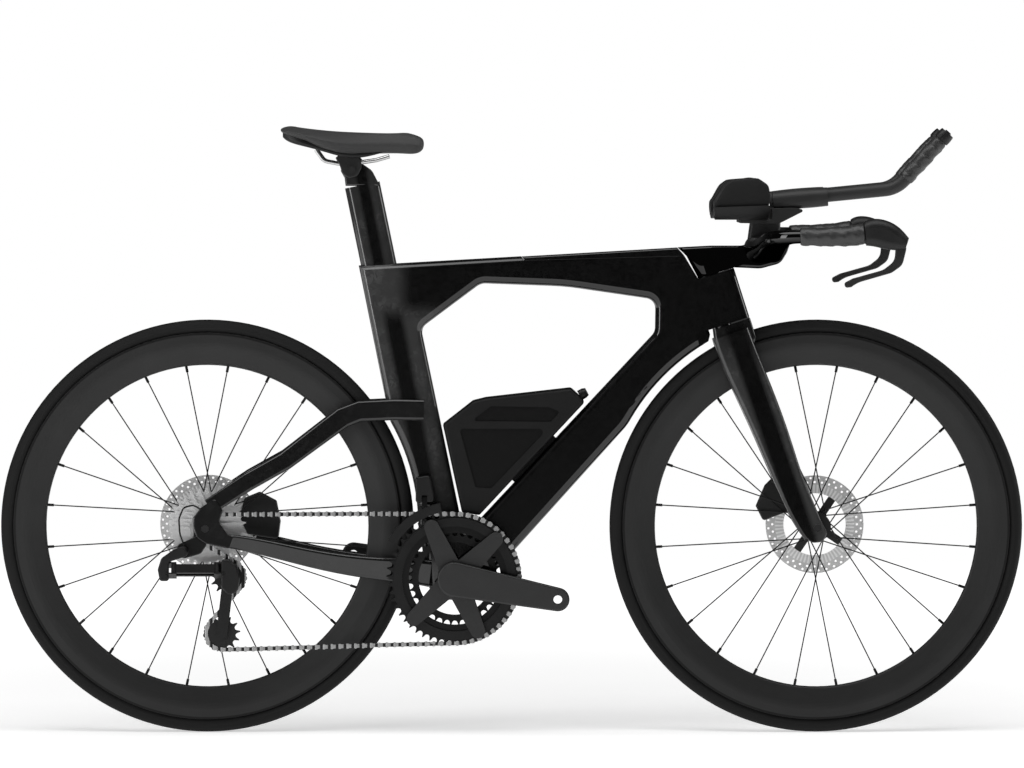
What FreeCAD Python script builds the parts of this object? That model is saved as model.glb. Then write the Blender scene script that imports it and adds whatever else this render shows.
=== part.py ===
import FreeCAD, Part
import os
from math import acos, asin, atan2, cos, degrees, pi, radians, sin, sqrt, tan

# A time trial bike. +X points forward, +Y to the rider's left, +Z up.
# The origin is on the ground, midway between the two axles.
# Side-view outlines are pixel coordinates of the photograph; the wheel's radius gives them their scale.

V = FreeCAD.Vector
X_AXIS = V(1, 0, 0)
Y_AXIS = V(0, 1, 0)
Z_AXIS = V(0, 0, 1)

# Scale of the side view
WHEEL_RADIUS_PX = 206.519
REAR_AXLE_PX = (207.2, 526.0)
FRONT_AXLE_PX = (816.0, 526.0)

# Fits shared by the whole bike
OVERRUN = 6.0
RUNNING_FIT = 0.05
SEAT_GAP = 0.15
BODY_GAP = 0.4

# Wheels
BEAD_SEAT_RADIUS = 311.0
TYRE_SECTION = 25.0
TYRE_WALL = 2.2
TYRE_OPENING = 11.0
RIM_DEPTH = 53.0
RIM_WIDTH = 28.0
RIM_INNER_WIDTH = 21.0
RIM_FLANGE_HEIGHT = 4.0
RIM_WALL = 2.2
RIM_EDGE_ROUND = 0.8
RIM_SHOULDER_SHARE = 0.42
RIM_NOSE_SHARE = 0.40
RIM_NOSE_ROUND = 5.0
RIM_SHOULDER_ROUND = 45.0
SPOKE_COUNT = 24
SPOKE_RADIUS = 1.0
SPOKE_CROSS_ANGLE = 60.0
SPOKE_HEAD_OFFSET = 1.6
NIPPLE_RADIUS = 2.2
NIPPLE_LENGTH = 11.0
NIPPLE_SEAT_DEPTH = 1.2
FLANGE_RADIUS = 23.0
FLANGE_HOLE_RADIUS = 20.0
FLANGE_THICKNESS = 4.6
HUB_SHELL_RADIUS = 12.5
HUB_END_RADIUS = 9.5
HUB_ROUND = 3.0
AXLE_RADIUS = 6.0
AXLE_HEAD_RADIUS = 8.0
AXLE_HEAD_DEPTH = 3.0
FRONT_HUB_WIDTH = 100.0
FRONT_LEFT_FLANGE = 20.5
FRONT_RIGHT_FLANGE = -33.0
REAR_HUB_WIDTH = 142.0
REAR_LEFT_FLANGE = 33.0
REAR_RIGHT_FLANGE = -18.0

# Brake rotors and calipers
ROTOR_RADIUS = 80.0
ROTOR_RADIUS_PX = 49.171
ROTOR_TRACK = 15.0
ROTOR_FIN_RING = 14.0
ROTOR_THICKNESS = 1.8
FRONT_ROTOR_PLANE = 39.5
REAR_ROTOR_PLANE = 55.5
ROTOR_HOLE_RADIUS = 1.9
ROTOR_HOLE_COUNT = 36
ROTOR_HOLE_ROW_SHARES = (0.28, 0.72)
ROTOR_ARM_COUNT = 4
ROTOR_ARM_ANGLE = 56.0
ROTOR_ARM_WIDTH = 13.0
ROTOR_SPIDER_THICKNESS = 4.4
ROTOR_HUB_RADIUS = 22.0
LOCKRING_RADIUS = 17.0
LOCKRING_DEPTH = 3.0
PAD_THICKNESS = 3.2
PAD_CLEARANCE = 0.35
CALIPER_HALF_WIDTH = 17.0
CALIPER_ROUND_PX = 1.54
FRONT_CALIPER_PX = ((757, 508, 2), (766, 487, 3), (775, 478, 2), (791, 503, 3), (790, 512, 3), (764, 522, 3))
FRONT_PAD_PX = ((769.1, 509.7, 1.5), (774.9, 498.1, 1.5), (782.7, 502.1, 1.5), (776.9, 513.7, 1.5))
REAR_CALIPER_PX = (
    (238, 519, 3), (243, 500, 3), (258, 494, 3), (275, 503, 3), (279, 524, 3), (277, 541, 3), (246, 536, 3),
)
REAR_PAD_PX = ((242.7, 505.4, 1.5), (250.9, 502.3, 1.5), (255.5, 514.4, 1.5), (247.3, 517.5, 1.5))

# Steering
HEAD_ANGLE = 72.0
FORK_OFFSET_PX = 27.04
STEER_LIMIT = 31.0
STEERER_RADIUS = 14.3
BEARING_RADIUS = 20.9
BEARING_HEIGHT = 8.0
HEAD_BORE_RADIUS = 16.5
STEM_SEAM_PX = (707.0, 275.5)
CROWN_SEAM_PX = (724.0, 324.5)
STEM_SEAM_RADIUS = 16.0
STEM_FLARE_RADIUS = 32.0
STEM_FLARE_HEIGHT = 47.0
STEM_TAIL = 120.0
STEERER_ENTRY = 36.0

# Front triangle
FRAME_WIDTH = 46.0
FRAME_ROUND_PX = 7.38
FRAME_WALL = 5.5
FRAME_OUTLINE_PX = (
    (359, 265.5, 0), (521, 256.3, 0), (524, 260.4, 0), (684, 255.8, 0), (698, 279, 0), (733.5, 268, 0),
    (749, 316.5, 0), (711.7, 328.5, 0), (708.3, 341, 0), (656.4, 374.6, 214), (627.2, 424.9, 55),
    (480, 588.3, 20), (452, 602, 20), (429, 592, 16), (424, 560, 30), (418.5, 524, 10),
    (414.6, 465.1, 211), (390, 420.4, 20),
)
FRAME_HOLE_PX = (
    (421, 328, 11), (481, 283.2, 14), (565, 286.3, 260), (655.5, 299.5, 11), (655, 332, 12), (464.2, 536, 5),
)
FRAME_SHARP_EDGES_PX = (
    (522.5, 258.3), (604, 258.1), (691, 267.4), (715.7, 273.5), (730.3, 322.5), (710, 334.7),
)
FRAME_SOLID_SEAT_PX = ((340, 240, 0), (430, 240, 0), (430, 430, 0), (380, 430, 0))
NOSE_WIDTH = 14.0
NOSE_RELIEF_RADIUS_PX = 31.35
NOSE_RELIEF_HEIGHT_PX = 43.02
FRONT_TYRE_CLEARANCE = 6.0
REAR_TYRE_CLEARANCE = 5.0
COVER_OUTLINE_PX = ((521.6, 256.6, 0), (677, 247.6, 0), (684, 255.5, 0), (524.4, 260.1, 0))
COVER_ROUND_PX = 2.46

# Bottom bracket and crankset
BB_PX = (455.0, 577.0)
BB_SHELL_WIDTH = 86.5
BB_SHELL_RADIUS = 28.0
BB_BORE_RADIUS = 20.5
CUP_DEPTH = 12.0
CUP_LIP_RADIUS = 22.5
CUP_LIP = 2.0
SPINDLE_RADIUS = 12.0
CRANK_LENGTH = 170.0
CRANK_ANGLE = -11.0
CRANK_END_RADIUS = 19.0
CRANK_ROOT_RADIUS = 28.0
CRANK_THICKNESS = 14.0
CRANK_STANDOFF = 30.75
CRANK_ROUND = 3.0
PEDAL_HOLE_RADIUS = 7.14
SPIDER_ANGLES = (55.0, 125.0, -125.0, -55.0)
SPIDER_WIDTH = 24.0
CRANK_HUB_RADIUS = 20.0
BOLT_CIRCLE_RADIUS = 55.0
CHAINRING_BOLT_RADIUS = 4.5
BIG_RING_TEETH = 52
SMALL_RING_TEETH = 36
RING_STANDOFF = 3.75
RING_SPACING = 7.0
RING_THICKNESS = 1.8
RING_BAND = 20.0
RING_FACE_BAND = 14.0
RING_FACE_HEIGHT = 4.2

# Chain and sprockets
CHAIN_PITCH = 12.7
ROLLER_RADIUS = 3.85
CHAIN_PIN_RADIUS = 1.75
CHAIN_BUSH_RADIUS = 2.0
CHAIN_INNER_WIDTH = 2.3
CHAIN_PLATE_THICKNESS = 0.72
CHAIN_PLATE_GAP = 0.06
CHAIN_PLATE_RADIUS = 4.1
CHAIN_PLATE_WAIST_SHARE = 0.74
CHAIN_LEAD = 75.0
TOOTH_SEAT_RADIUS = 4.15
TOOTH_HEIGHT = 3.4
TOOTH_TIP = 1.6
TOOTH_SEAT_LOW_SHARE = 0.35
COG_TEETH = (11, 12, 13, 14, 15, 16, 17, 19, 21, 24, 27, 30)
COG_THICKNESS = 1.5
COG_SPACING = 3.6
COG_FACE_INSET = 4.6
FREEHUB_RADIUS = 16.5
PULLEY_TEETH = 13
PULLEY_THICKNESS = 1.9
PULLEY_BORE_RADIUS = 3.0
PULLEY_HUB_RADIUS = 7.0

# Rear triangle
DROPOUT_THICKNESS = 9.0
DROPOUT_ROUND_PX = 0.98
DROPOUT_PX = (
    (196, 514, 3), (203, 505, 4), (217, 496, 3), (225, 508, 5), (221, 520, 7), (229, 531, 6), (236, 534, 2),
    (232, 546, 2), (208, 541, 4), (199, 535, 5), (195.5, 524, 6),
)
CHAINSTAY_WIDTH = 15.0
CHAINSTAY_PX = (
    (430, 573, 27), (392, 568.5, 24), (340, 562, 20.5), (300, 553.5, 18), (255, 542.8, 15.5),
    (226, 538, 13.5),
)
CHAINSTAY_SHELL_SHARES = (0.525, 0.657, 0.30, 0, 0, 0)
CHAINSTAY_HUB_SHARES = (0, 0, 0.417, 0.78, 0.99, 1.06)
CHAINSTAY_WIDTH_SHARES = (1.15, 1.05, 0.95, 0.85, 0.72, 0.6)
SEATSTAY_WIDTH = 13.0
SEATSTAY_PX = (
    (424, 409.5, 20.5), (395, 409, 21), (360, 410.5, 21), (343, 417, 21), (322, 432.5, 20),
    (286, 459.5, 18.5), (250, 479.5, 18), (211, 504.5, 16),
)
SEATSTAY_LATERAL_SHARES = (0.355, 0.36, 0.38, 0.42, 0.52, 0.74, 0.94, 1.06)
SEATSTAY_WIDTH_SHARES = (0.9, 1.0, 1.0, 1.0, 1.0, 1.0, 0.9, 0.6)
STAY_ROUND_SHARE = 0.8

# Seatpost and saddle
POST_TOP_PX = (362.5, 185.0)
POST_FOOT_PX = (388.9, 313.0)
POST_DEPTH_PX = 35.22
POST_WIDTH = 31.0
POST_ROUND_SHARE = 0.85
POST_HEAD_PX = (
    (346, 186, 0), (345, 178, 4), (341, 171, 2), (344, 165, 4), (362, 163.5, 5), (372, 170.5, 12),
    (380, 186, 0),
)
POST_HEAD_WIDTH = 30.0
POST_HEAD_ROUND_PX = 1.84
SADDLE_RAIL_SPACING = 44.0
RAIL_RADIUS = 3.5
RAIL_PX = (
    (316.5, 149.6, 0), (324.5, 161, 9), (341, 164.2, 18), (363, 162.2, 18), (377, 160.2, 14),
    (389.5, 156.6, 0),
)
CLAMP_PX = (
    (336, 158, 1.5), (340, 154.6, 2), (358, 155, 2), (362.3, 160, 2), (362, 168, 4), (358, 176, 5),
    (350, 178.5, 5),
    (343, 174, 5), (340.5, 166, 2),
)
CLAMP_THICKNESS = 11.0
CLAMP_BOLT_PX = (352.5, 169.5)
CLAMP_BOLT_RADIUS = 3.5
CLAMP_HEAD_RADIUS = 5.5
CLAMP_HEAD_HEIGHT = 3.5
CLAMP_ROUND_PX = 1.07
SADDLE_WIDTH = 144.0
COVER_SECTIONS_PX = (
    (279, 127.6, 130.5), (287, 126.4, 134.0), (300, 128.0, 138.2), (320, 130.2, 147.2), (340, 131.6, 153.2),
    (362, 132.3, 153.9), (385, 132.5, 152.9), (405, 132.3, 153.2), (418, 133.5, 153.0), (425.4, 138.5, 147.0),
)
COVER_WIDTH_SHARES = (0.60, 0.86, 0.98, 1.0, 0.86, 0.62, 0.43, 0.345, 0.29, 0.17)
COVER_POINT_SHARES = (
    (-0.80, 0.0), (-1.0, 0.42), (-0.56, 0.92), (0.0, 1.0), (0.56, 0.92), (1.0, 0.42), (0.80, 0.0),
)
COVER_ROUND_SHARES = (0.10, 0.22, 0.6, 1.0, 0.6, 0.22, 0.10)
SHELL_SECTIONS_PX = (
    (284, 130.6, 137.5), (300, 135.6, 145.2), (318, 143.4, 149.8), (340, 150.4, 156.0), (370, 151.2, 156.2),
    (405, 150.6, 155.0),
)
SHELL_WIDTH_SHARES = (0.54, 0.70, 0.72, 0.60, 0.37, 0.21)

# Bottle
BOTTLE_PX = (
    (443, 424, 2), (473, 400.5, 5), (486, 397.3, 6), (571, 387.6, 5), (585.3, 401, 4), (479.5, 514.5, 3),
    (462, 512, 3),
)
BOTTLE_WIDTH = 56.0
BOTTLE_ROUND_PX = 3.69
BOTTLE_PANEL_PX = ((459.5, 428, 3), (475.5, 486.5, 3), (491.5, 487.5, 4), (548, 428, 4))
BOTTLE_GRIP_PX = ((471, 420.5, 2), (491, 405.5, 3), (549, 406.5, 3), (560, 411, 2), (551, 421, 2))
BOTTLE_PANEL_DEPTH = 2.2
BOTTLE_BOSS_PX = ((515.3, 482.8, 0), (556.6, 438.7, 0), (552.7, 435.0, 0), (511.4, 479.1, 0))
BOTTLE_BOSS_WIDTH = 16.0
NOZZLE_PX = (579.5, 395.5)
NOZZLE_TIP_PX = (587.0, 391.5)
NOZZLE_RADIUS = 8.5
NOZZLE_TIP_RADIUS = 6.5
NOZZLE_STEP_SHARE = 0.6

# Fork
BLADE_PX = (
    (730, 333, 37), (739, 358, 38), (757, 400, 36), (777, 450, 31.5), (797, 500, 27.5), (808.5, 524, 24.5),
    (813, 533, 21.5),
)
BLADE_LATERAL_SHARES = (0.66, 0.68, 0.76, 0.90, 1.05, 1.12, 1.13)
BLADE_WIDTH = 22.0
BLADE_WIDTH_SHARES = (1.0, 1.0, 0.95, 0.82, 0.68, 0.58, 0.56)
BLADE_ROUND_SHARE = 0.82
CROWN_PX = ((713, 329.3, 0), (749.3, 317.4, 0), (757, 341, 10), (741, 352, 6), (722, 350, 8), (714.5, 341, 4))
CROWN_SHARP_EDGES_PX = ((731.2, 323.4),)
CROWN_WIDTH = 62.0
CROWN_ROUND_PX = 3.07
CROWN_TUNNEL_WIDTH = 37.0
CROWN_REAR_PX = 12.48
FORK_TIP_PX = (
    (801, 515, 5), (815, 512, 5), (826, 530, 8), (822, 540, 8), (809, 541, 8), (801, 530, 6),
)
FORK_TIP_THICKNESS = 11.0

# Base bar, riser, armrests and extensions
STEM_PX = (
    (677.5, 247.4, 0), (711, 245.7, 30), (743, 245.7, 12), (763, 235, 14), (779, 231, 8), (795, 236, 3.6),
    (789.5, 243, 6), (786.5, 252, 14), (780, 263, 12), (760, 268.4, 20), (733.5, 267.2, 0), (698, 278, 0),
    (686.5, 256, 0),
)
STEM_SHARP_EDGES_PX = ((715.7, 272.6), (692.2, 267.0), (682.0, 251.7))
STEM_WIDTH = 44.0
STEM_ROUND_PX = 3.07
GRIP_SPACING = 384.0
WING_PX = (
    (765, 250, 40, 30), (767, 246.5, 37, 23), (771, 240.5, 31, 16.5), (779, 236, 25, 14.5),
    (796, 235.2, 15, 13),
    (822, 235.4, 13, 13), (857.5, 232.6, 13, 13),
)
WING_LATERAL_SHARES = (0.0, 0.28, 0.62, 0.88, 0.99, 1.0, 1.0)
BAR_ROUND_SHARE = 0.94
RISER_PX = ((750, 220.5, 0), (780, 220.5, 0), (779, 241, 0), (746.5, 247, 0))
RISER_WIDTH = 40.0
RISER_ROUND_PX = 3.07
BRIDGE_PX = (
    (738, 219.3, 0.5), (769.8, 219.3, 1.5), (769.8, 208, 1.5), (793, 207.3, 4), (803, 209.8, 1.6),
    (783, 220, 4),
    (776, 223.4, 3), (738, 222.6, 0.5),
)
BRIDGE_WIDTH = 156.0
BRIDGE_ROUND_PX = 0.43
PAD_SPACING = 194.0
PAD_WIDTH = 98.0
PAD_FOAM = 13.0
PAD_ROUND = 34.0
PAD_EDGE_ROUND_PX = 2.46
PAD_PX = (
    (709.7, 218, 3), (710, 201, 4), (721, 183.5, 9), (729, 178.6, 6), (755, 176.2, 6), (766, 184, 7),
    (768.3, 197, 8), (764, 218, 3),
)
PAD_FLOOR_PX = 217.2
CUP_SHELL_PX = ((711.5, 206.5, 2), (767, 204.5, 2), (764, 221, 2), (713, 221, 3))
CUP_SHELL = 3.0
EXTENSION_SPACING = 120.0
EXTENSION_PX = ((770.5, 200.4, 0), (893.5, 188.3, 30), (937.5, 140.6, 0))
EXTENSION_RADIUS_PX = 6.82
CLAMP_SLEEVE_PX = ((771, 200.4, 17), (800, 198.3, 19.5), (825, 196.4, 18.5))
SLEEVE_WIDTH_SHARE = 1.25
EXTENSION_GRIP_PX = ((902.3, 178.8, 15.6), (913, 167.2, 16), (925, 154.2, 16), (936.7, 141.5, 15.6))
POD_PX = ((937.7, 140.4, 15.5), (941, 136.8, 15.8), (944.3, 133.2, 14.5))
BUTTON_RADIUS = 5.5
BUTTON_HEIGHT = 2.4
BUTTON_ROOT = 2.0
BUTTON_TRAVEL = 1.5
BAR_GRIP_PX = ((797.5, 235.2, 15), (815, 235.3, 16), (836, 234.8, 18.5), (856.8, 232.6, 21.5))
HOUSING_PX = ((858, 232.4, 23), (869, 231.2, 27.5), (881, 234.5, 26.5), (891, 238.8, 20.5), (899, 241.4, 11))
HOUSING_WIDTH = 34.0
HOUSING_WIDTH_SHARES = (0.92, 1.0, 0.98, 0.9, 0.75)
LEVER_PIVOT_PX = (892.5, 240.5)
LEVER_PX = (
    (888.5, 238, 4), (897, 238, 4), (898.5, 247, 10), (894.5, 263, 11), (884, 270.5, 14), (850, 280.3, 30),
    (844.5, 284.5, 2), (838.5, 285.2, 2.5), (837.8, 280.3, 2.5), (846, 276, 5), (876, 267.6, 16),
    (887, 259, 12),
)
LEVER_WIDTH = 10.0
LEVER_ROUND_PX = 0.98
LEVER_SLOT_PX = ((884, 233.5, 0), (905, 233.5, 0), (905, 262, 0), (876, 262, 0), (879, 246, 0))
LEVER_PIN_RADIUS = 2.5
LEVER_SLOT_GAP = 0.5

# Front derailleur
FD_BODY_PX = ((416, 476, 3), (430.5, 474, 4), (434, 493, 3), (433.5, 501, 2.5), (416, 501, 2.5))
FD_BODY_COVER = 3.0
FD_ROUND_PX = 1.54
FD_CAGE_HEIGHT = 15.0
FD_CAGE_CLEARANCE = 1.6
FD_CAGE_HALF_GAP = 5.0
FD_CAGE_PLATE = 1.6
FD_CAGE_START = 101.0
FD_CAGE_END = 150.0
FD_BRIDGE_ANGLE = 5.0
FD_BRIDGE_THICKNESS = 2.2
FD_PIVOT_PX = (424.8, 496.5)
FD_PIVOT_RISE = 34.73
FD_SINK = 2.5
FD_LINK_LENGTH = 14.5
FD_LINK_WIDTH = 8.0
FD_EYE_RADIUS = 4.0
FD_PIN_RADIUS = 1.8

# Rear derailleur
HANGER_PX = ((201, 532, 2), (209, 542, 3), (203, 551, 5), (186, 556, 7), (177, 551, 6), (180, 542, 5))
HANGER_THICKNESS = 7.0
HANGER_BOLT_PX = (184.0, 548.5)
HANGER_BOLT_HEAD_RADIUS = 7.5
KNUCKLE_PX = (
    (160.5, 566, 5), (164, 555, 5), (176, 546.5, 6), (188, 541.5, 5), (192, 552, 5), (171.5, 558.5, 2),
    (171.5, 577.5, 2.5), (162.5, 577.5, 3),
)
KNUCKLE_ROUND_PX = 1.54
MOTOR_PX = (
    (223.5, 556.5, 3), (230, 556, 4), (239, 562, 6), (242, 574, 6), (240, 588, 6), (231, 591.5, 4),
    (223.5, 584, 4),
)
LINK_PIVOT_PX = (176.5, 567.0)
LINK_FAR_PIVOT_PX = (219.3, 567.0)
LINK_SLANT = 25.0
LINK_HEIGHT = 15.0
LINK_THICKNESS = 4.5
LINK_SPREAD = 13.0
LINK_EYE_RADIUS = 4.2
LINK_PIN_RADIUS = 1.8
EAR_THICKNESS = 2.4
EAR_GAP = 0.4
EAR_REACH = 12.0
GUIDE_PX = (230.0, 574.5)
TENSION_PX = (222.0, 630.5)
CAGE_SEARCH = 0.25
CAGE_HALF_GAP = 4.2
CAGE_PLATE = 1.8
CAGE_EYE_RADIUS = 9.0
CAGE_PIVOT_RADIUS = 5.0
CAGE_PIVOT_DEPTH = 9.0
KNUCKLE_DEPTH = 17.0

# Derailleur wire
WIRE_RADIUS = 1.4
WIRE_PX = (
    (203.5, 507, 0), (196, 502.5, 5), (186, 504.5, 6.5), (181.3, 516, 12), (182.2, 531, 16), (187, 543.8, 0),
)

# Values that follow from the sizes above
TYRE_RADIUS = BEAD_SEAT_RADIUS + TYRE_SECTION
MM_PER_PX = TYRE_RADIUS / WHEEL_RADIUS_PX
WHEELBASE = (FRONT_AXLE_PX[0] - REAR_AXLE_PX[0]) * MM_PER_PX
FRAME_ROUND = FRAME_ROUND_PX * MM_PER_PX
COVER_ROUND = COVER_ROUND_PX * MM_PER_PX
CROWN_ROUND = CROWN_ROUND_PX * MM_PER_PX
STEM_ROUND = STEM_ROUND_PX * MM_PER_PX
POST_HEAD_ROUND = POST_HEAD_ROUND_PX * MM_PER_PX
DROPOUT_ROUND = DROPOUT_ROUND_PX * MM_PER_PX
BOTTLE_ROUND = BOTTLE_ROUND_PX * MM_PER_PX
RISER_ROUND = RISER_ROUND_PX * MM_PER_PX
BRIDGE_ROUND = BRIDGE_ROUND_PX * MM_PER_PX
LEVER_ROUND = LEVER_ROUND_PX * MM_PER_PX
FD_ROUND = FD_ROUND_PX * MM_PER_PX
KNUCKLE_ROUND = KNUCKLE_ROUND_PX * MM_PER_PX
CALIPER_ROUND = CALIPER_ROUND_PX * MM_PER_PX
PAD_EDGE_ROUND = PAD_EDGE_ROUND_PX * MM_PER_PX
POST_DEPTH = POST_DEPTH_PX * MM_PER_PX
EXTENSION_RADIUS = EXTENSION_RADIUS_PX * MM_PER_PX
FORK_OFFSET = FORK_OFFSET_PX * MM_PER_PX
NOSE_RELIEF_RADIUS = NOSE_RELIEF_RADIUS_PX * MM_PER_PX
NOSE_RELIEF_HEIGHT = NOSE_RELIEF_HEIGHT_PX * MM_PER_PX
CROWN_REAR = CROWN_REAR_PX * MM_PER_PX
CLAMP_ROUND = CLAMP_ROUND_PX * MM_PER_PX
CRANK_FACE_OFFSET = BB_SHELL_WIDTH / 2 + CRANK_STANDOFF
CHAIN_LINE = BB_SHELL_WIDTH / 2 + RING_STANDOFF
RIM_RADIUS = BEAD_SEAT_RADIUS + RIM_FLANGE_HEIGHT
RIM_INNER_RADIUS = RIM_RADIUS - RIM_DEPTH
HALF_FRAME = FRAME_WIDTH / 2
FD_BODY_DEPTH = CHAIN_LINE - HALF_FRAME + FD_BODY_COVER
REAR_HALF = REAR_HUB_WIDTH / 2
FRONT_HALF = FRONT_HUB_WIDTH / 2
CHAIN_COG_PLANE = -REAR_HALF + COG_FACE_INSET
CAGE_OUTER = CHAIN_COG_PLANE - CAGE_HALF_GAP - CAGE_PLATE
KNUCKLE_INNER = -REAR_HALF - HANGER_THICKNESS - BODY_GAP
KNUCKLE_OUTER = KNUCKLE_INNER - KNUCKLE_DEPTH
LINK_PLANE = (KNUCKLE_INNER + KNUCKLE_OUTER) / 2
WIRE_PLANE = -REAR_HALF - DROPOUT_THICKNESS - WIRE_RADIUS


def at(px, py, y=0.0):
    """A point of the side view, at the distance y from the middle plane."""
    middle = (REAR_AXLE_PX[0] + FRONT_AXLE_PX[0]) / 2
    return V((px - middle) * MM_PER_PX, y, TYRE_RADIUS + (REAR_AXLE_PX[1] - py) * MM_PER_PX)


REAR_AXLE = at(*REAR_AXLE_PX)
FRONT_AXLE = at(*FRONT_AXLE_PX)
BB = at(*BB_PX)
STEER_DIRECTION = V(-cos(radians(HEAD_ANGLE)), 0, sin(radians(HEAD_ANGLE)))
STEER_FORWARD = V(sin(radians(HEAD_ANGLE)), 0, cos(radians(HEAD_ANGLE)))
STEER_FOOT = FRONT_AXLE - STEER_FORWARD * FORK_OFFSET


def along_steering(px_point):
    """Distance of a side-view point along the steering axis, from the axis point nearest the axle."""
    return (at(*px_point) - STEER_FOOT).dot(STEER_DIRECTION)


STEM_SEAM = along_steering(STEM_SEAM_PX)
CROWN_SEAM = along_steering(CROWN_SEAM_PX)
STEERER_TOP = STEM_SEAM + STEERER_ENTRY


def steer_point(distance):
    return STEER_FOOT + STEER_DIRECTION * distance


def rounded_wire(points, radii):
    """A closed polygon whose corners are tangent arcs of the given radii."""
    edges = []
    ends = []
    count = len(points)
    for i in range(count):
        corner = points[i]
        back = (points[i - 1] - corner).normalize()
        onward = (points[(i + 1) % count] - corner).normalize()
        half = acos(max(-1, min(1, back.dot(onward)))) / 2
        if radii[i] <= 0:
            ends.append((corner, None, corner))
            continue
        trim = radii[i] / tan(half)
        middle = corner + (back + onward).normalize() * (radii[i] / sin(half) - radii[i])
        ends.append((corner + back * trim, middle, corner + onward * trim))
    for i in range(count):
        start, middle, end = ends[i]
        if middle is not None:
            edges.append(Part.Arc(start, middle, end).toShape())
        following = ends[(i + 1) % count][0]
        edges.append(Part.LineSegment(end, following).toShape())
    return Part.Wire(edges)


def outline(corners, y):
    points = [at(px, py, y) for px, py, radius in corners]
    return rounded_wire(points, [radius * MM_PER_PX for px, py, radius in corners])


def slab(corners, low, high):
    """A side-view outline, as thick as the span from low to high across the bike."""
    return Part.Face(outline(corners, low)).extrude(Y_AXIS * (high - low))


def side_edges(shape, planes):
    """The edges that lie flat in one of the planes across the bike."""
    chosen = []
    for edge in shape.Edges:
        box = edge.BoundBox
        for y in planes:
            if abs(box.YMin - y) < RUNNING_FIT and abs(box.YMax - y) < RUNNING_FIT:
                chosen.append(edge)
    return chosen


def soft_edges(body, half_width, sharp_px):
    """The edges of both side faces, without those whose middle lies at one of the given side-view points."""
    sharp = [at(px, py) for px, py in sharp_px]
    soft = []
    for edge in side_edges(body, (-half_width, half_width)):
        middle = edge.valueAt((edge.FirstParameter + edge.LastParameter) / 2)
        if min(V(middle.x - place.x, 0, middle.z - place.z).Length for place in sharp) > FRAME_WALL:
            soft.append(edge)
    return soft


def rounded_slab(corners, low, high, radius):
    body = slab(corners, low, high)
    return body.makeFillet(radius, side_edges(body, (low, high)))


def cylinder(radius, start, end):
    way = end - start
    return Part.makeCylinder(radius, way.Length, start, way)


def cone(first_radius, last_radius, start, end):
    way = end - start
    return Part.makeCone(first_radius, last_radius, way.Length, start, way)


def across(radius, centre, low, high):
    """A cylinder across the bike."""
    return cylinder(radius, V(centre.x, low, centre.z), V(centre.x, high, centre.z))


def tube_across(outer, inner, centre, low, high):
    body = across(outer, centre, low, high)
    return body.cut(across(inner, centre, low - OVERRUN, high + OVERRUN))


def joined(shapes):
    body = shapes[0]
    if len(shapes) > 1:
        body = body.fuse(shapes[1:])
    return body.removeSplitter()


def group(shapes):
    return Part.makeCompound(shapes)


def mirrored(shape):
    return shape.mirror(V(0, 0, 0), Y_AXIS)


def both_sides(shape):
    return group([shape, mirrored(shape)])


def box_section(centre, deep, wide, depth, width, round_share):
    """A rectangle with round corners, in the plane of the unit vectors deep and wide."""
    a = deep * (depth / 2)
    b = wide * (width / 2)
    radius = round_share * min(depth, width) / 2
    return rounded_wire([centre + a + b, centre - a + b, centre - a - b, centre + a - b], [radius] * 4)


def loft_tube(stations, hint, round_share, first=None, last=None, straight=False):
    """A loft through box sections square to the path; each station is a point, a depth and a width."""
    wires = []
    final = len(stations) - 1
    for i, (centre, depth, width) in enumerate(stations):
        ahead = stations[min(i + 1, final)][0]
        behind = stations[max(i - 1, 0)][0]
        way = (ahead - behind).normalize()
        if i == 0 and first is not None:
            way = first
        if i == final and last is not None:
            way = last
        wide = (hint - way * hint.dot(way)).normalize()
        wires.append(box_section(centre, wide.cross(way), wide, depth, width, round_share))
    return Part.makeLoft(wires, True, straight)


def lathe(profile, centre, axis, radial):
    """A solid of revolution; each profile point is a radius, a place along the axis and a corner radius."""
    points = [centre + radial * radius + axis * along for radius, along, corner in profile]
    wire = rounded_wire(points, [corner for radius, along, corner in profile])
    return Part.Face(wire).revolve(centre, axis, 360)


def wire_path(corners, y):
    """An open side-view path of straight runs and tangent arcs."""
    points = [at(px, py, y) for px, py, radius in corners]
    edges = []
    start = points[0]
    for i in range(1, len(points) - 1):
        corner = points[i]
        back = (points[i - 1] - corner).normalize()
        onward = (points[i + 1] - corner).normalize()
        half = acos(back.dot(onward)) / 2
        radius = corners[i][2] * MM_PER_PX
        trim = radius / tan(half)
        middle = corner + (back + onward).normalize() * (radius / sin(half) - radius)
        edges.append(Part.LineSegment(start, corner + back * trim).toShape())
        edges.append(Part.Arc(corner + back * trim, middle, corner + onward * trim).toShape())
        start = corner + onward * trim
    edges.append(Part.LineSegment(start, points[-1]).toShape())
    return Part.Wire(edges)


def bent_wire(corners, y, radius):
    path = wire_path(corners, y)
    start = at(corners[0][0], corners[0][1], y)
    way = at(corners[1][0], corners[1][1], y) - start
    circle = Part.Wire(Part.makeCircle(radius, start, way))
    return path.makePipeShell([circle], True, False)


def wheel_clearance(axle, clearance, half_width):
    return across(TYRE_RADIUS + clearance, axle, -half_width, half_width)


def seatpost_blade(gap):
    """The seatpost's deep section, from its head down into the seat tube, grown by a gap all round."""
    depth = POST_DEPTH + 2 * gap
    width = POST_WIDTH + 2 * gap
    stations = [(at(*POST_TOP_PX), depth, width), (at(*POST_FOOT_PX), depth, width)]
    return loft_tube(stations, Y_AXIS, POST_ROUND_SHARE)


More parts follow.
